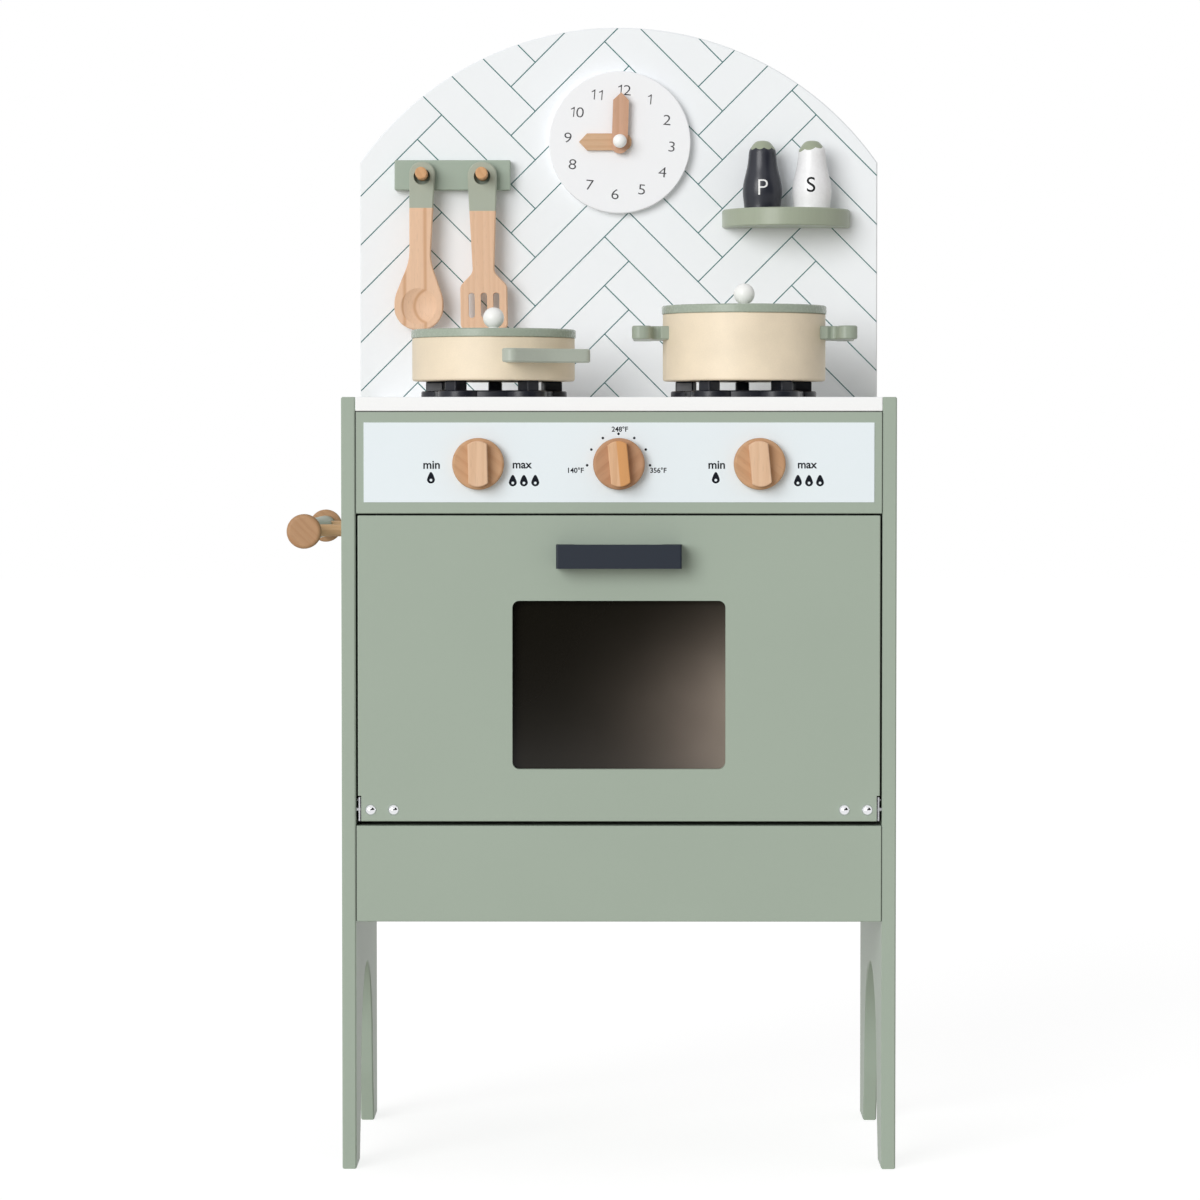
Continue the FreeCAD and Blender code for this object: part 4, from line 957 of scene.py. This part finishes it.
dress(beech("minute_beech", MINUTE_WOOD, "Z", contrast=0.05, shift=1.3), "minute_hand")
ball_white = paint("ball_paint", BALL, roughness=0.3, cloud=0.01, stipple=0.04, patch=160.0)
dress(ball_white, "clock_pin")
numerals = []
for hour in range(1, 13):
    turn = math.radians(HOUR_TURN * hour + DIAL_TURN)
    middle = spot(CLOCK_X + NUMERAL_RING * math.sin(turn), 0, CLOCK_Z + NUMERAL_RING * math.cos(turn))
    middle.y = dial_front
    digits = str(hour)
    for digit, aside in zip(digits, (0.0,) if len(digits) == 1 else DIGIT_PLACES):
        if digit == "1":
            outline = [(x * NUMERAL_TALL * MM, z * NUMERAL_TALL * MM) for x, z in FLAGGED_ONE]
            mesh = prism("numeral", outline, -PRINT_PROUD * MM, PRINT_PROUD * MM)
        else:
            mesh = lettering("numeral", digit, NUMERAL_TALL, False, NUMERAL_BOLD, NUMERAL_SPREAD)
        along = Matrix.Rotation(math.radians(DIAL_TURN), 3, "Y") @ Vector((aside * NUMERAL_TALL * MM, 0, 0))
        numerals.append((mesh, middle + along, DIAL_TURN))
clock_numerals = printed("clock_numerals", numerals, ink("numeral_ink", NUMERAL))
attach(clock_numerals, "cabinet")


# Utensil rail: a painted board with two beech pegs, screwed on from behind. The spoon and spatula hang
# on the pegs by a hole, sawn from beech and dipped in sage paint down to a straight line.
UTENSIL_WOOD = (230, 192, 161)
UTENSIL_SAGE = (171, 178, 163)
PEG_WOOD = (214, 166, 121)
SPOON_DIP_Z = 760.9
SPATULA_DIP_Z = 758.4
dress(sage_paint, "utensil_rail")
dress(beech("peg_beech", PEG_WOOD, "Y", contrast=0.06, shift=0.2), "utensil_pegs")
spoon_dip = (UTENSIL_SAGE, SPOON_DIP_Z * MM)
spatula_dip = (UTENSIL_SAGE, SPATULA_DIP_Z * MM)
spoon_beech = beech("spoon_beech", UTENSIL_WOOD, "Z", shift=1.54, ring=16.5, late=0.75, wave=0.5, slope=2.5,
                    dip=spoon_dip)
spatula_beech = beech("spatula_beech", UTENSIL_WOOD, "Z", contrast=0.03, shift=2.3, ring=5.0, late=0.2,
                      dip=spatula_dip)
dress(spoon_beech, "spoon")
dress(spatula_beech, "spatula")


# Spice shelf: a half-round painted board, screwed on from behind. A pepper shaker in charcoal and a salt
# shaker in white stand on it, turned from wood, each with a sage cap painted down to a wavy edge and
# its initial in front.
SHELF = (163, 171, 152)
PEPPER = (41, 43, 52)
SALT = (243, 243, 245)
CAP = (158, 166, 144)
LETTER_WHITE = (240, 240, 240)
LETTER_BLACK = (24, 25, 28)
LOBE_TALL = 1.5
FIRST_EDGE = 0.8
LONGEST_EDGE = 1.6
AHEAD = 10


def capped_paint(name, node, tint, edge_tall, lobes, cusp, tilt):
    """Paint with a sage cap that ends in round lobes about the neck.

    edge_tall is the lobes' height above the foot in millimetres, cusp the angle of one notch between
    them and tilt the edge's rise to the right."""
    coat = Finish(name)
    low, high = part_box(node)
    across = coat.axis("X") - (low.x + high.x) / 2
    outward = (low.y + high.y) / 2 - coat.axis("Y")
    turn = across.maths("ARCTAN2", across, outward) - math.radians(cusp)
    lobe = turn.maths("ABSOLUTE", turn.maths("SINE", turn * (lobes / 2)))
    edge = low.z + edge_tall * MM + (1 - lobe) * (LOBE_TALL * MM) + across * tilt
    capped = coat.ease(coat.axis("Z") - edge, -PAINT_EDGE * MM, PAINT_EDGE * MM)
    dabs = coat.noise(STIPPLE_GRAIN, detail=2.0)
    body = coat.mix(dabs, shade(tint, 0.97), shade(tint, 1.03))
    cap = coat.mix(dabs, shade(CAP, 0.98), shade(CAP, 1.02))
    tone = coat.mix(capped, body, cap)
    skin = coat.bump(dabs, strength=0.06)
    return coat.surface(Base_Color=tone, Roughness=0.26 + dabs * 0.08, Specular_IOR_Level=0.4, Normal=skin)


def initial(name, letter, node, tall, aside, up, bold, material):
    """Letter laid on a shaker's front, each of its points pressed back onto the curved wall."""
    low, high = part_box(node)
    mesh = lettering(name, letter, tall, False, bold)
    shape = bmesh.new()
    shape.from_mesh(mesh)
    long_edges = [edge for edge in shape.edges if edge.calc_length() > FIRST_EDGE * MM]
    while long_edges:
        bmesh.ops.subdivide_edges(shape, edges=long_edges, cuts=1)
        bmesh.ops.triangulate(shape, faces=[face for face in shape.faces if len(face.verts) > 4])
        long_edges = [edge for edge in shape.edges if edge.calc_length() > LONGEST_EDGE * MM]
    solid = nodes[node].data
    wall = BVHTree.FromPolygons([v.co for v in solid.vertices], [p.vertices for p in solid.polygons])
    middle = Vector(((low.x + high.x) / 2 + aside * MM, low.y - AHEAD * MM, low.z + up * MM))
    for v in shape.verts:
        hit, normal = wall.ray_cast(middle + Vector((v.co.x, 0, v.co.z)), Vector((0, 1, 0)))[:2]
        v.co = hit - normal * v.co.y
    shape.to_mesh(mesh)
    shape.free()
    mesh.materials.append(material)
    piece = bpy.data.objects.new(name, mesh)
    scene.collection.objects.link(piece)
    return piece


dress(paint("shelf_paint", SHELF, roughness=0.3, cloud=0.04, stipple=0.04, streaks=0.5), "spice_shelf")
pepper_paint = capped_paint("pepper_paint", "pepper_shaker", PEPPER,
                            edge_tall=48.8, lobes=9, cusp=5.7, tilt=0.0)
salt_paint = capped_paint("salt_paint", "salt_shaker", SALT,
                          edge_tall=48.6, lobes=7, cusp=14.8, tilt=0.17)
dress(pepper_paint, "pepper_shaker")
dress(salt_paint, "salt_shaker")
pepper_letter = initial("pepper_letter", "P", "pepper_shaker", tall=12.7, aside=0.0, up=17.2, bold=-0.012,
                        material=ink("letter_white", LETTER_WHITE))
salt_letter = initial("salt_letter", "S", "salt_shaker", tall=12.6, aside=-1.4, up=19.3, bold=0.004,
                      material=ink("letter_black", LETTER_BLACK))
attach(pepper_letter, "pepper_shaker")
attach(salt_letter, "salt_shaker")


# Pan and pot: turned wooden bodies in mottled cream paint, with sage lids and side handles and white
# wooden balls for lid knobs. They stand loose on the burners.
CREAM = (239, 223, 197)
LID = (163, 174, 159)
POT_GRAB = (156, 166, 151)
# The pan's handle is the same sage written paler, a painted highlight for the light on its turned front.
PAN_GRAB_LIT = (180, 187, 175)
cream = Finish("cream_paint")
mottle = cream.noise(scale=42.0, detail=5.0)
pores = cream.noise(scale=900.0, detail=3.0)
cream_tone = cream.mix(mottle * 0.7 + pores * 0.3, shade(CREAM, 0.92), shade(CREAM, 1.05))
cream_skin = cream.bump(pores, strength=0.14)
cream.surface(Base_Color=cream_tone, Roughness=0.45 + pores * 0.1, Normal=cream_skin)
dress(cream.material, "pan_body", "pot_body")
lid_paint = paint("lid_paint", LID, roughness=0.27, cloud=0.03, stipple=0.03, streaks=0.3)
dress(lid_paint, "pan_lid", "pot_lid")
dress(ball_white, "pan_lid_knob", "pot_lid_knob")
pot_grab = paint("pot_grab_paint", POT_GRAB, roughness=0.3, cloud=0.03, stipple=0.04, patch=60.0)
pan_grab_lit = paint("grab_paint", PAN_GRAB_LIT, roughness=0.3, cloud=0.04, stipple=0.04, patch=60.0)
dress(pot_grab, "pot_handles")
dress(pan_grab_lit, "pan_handle")


# Towel rail: a painted bar between two beech discs, carried off the left side panel by two beech posts.
# A tenon at each end of the bar goes into its disc.
RAIL = (174, 182, 164)
# The posts' beech is written paler as a painted highlight for their lit tops, and the discs' darker, partly
# painted shade for the rear disc's shadow.
RAIL_WOOD_SHADED = (183, 143, 107)
POST_WOOD_LIT = (220, 181, 139)
dress(paint("rail_paint", RAIL), "towel_rail_bar")
dress(beech("rail_beech", RAIL_WOOD_SHADED, "X", contrast=0.07, shift=0.5, lean=-45.0), "towel_rail_discs")
dress(beech("post_beech", POST_WOOD_LIT, "X", shift=0.8, ring=4.0), "towel_rail_posts")
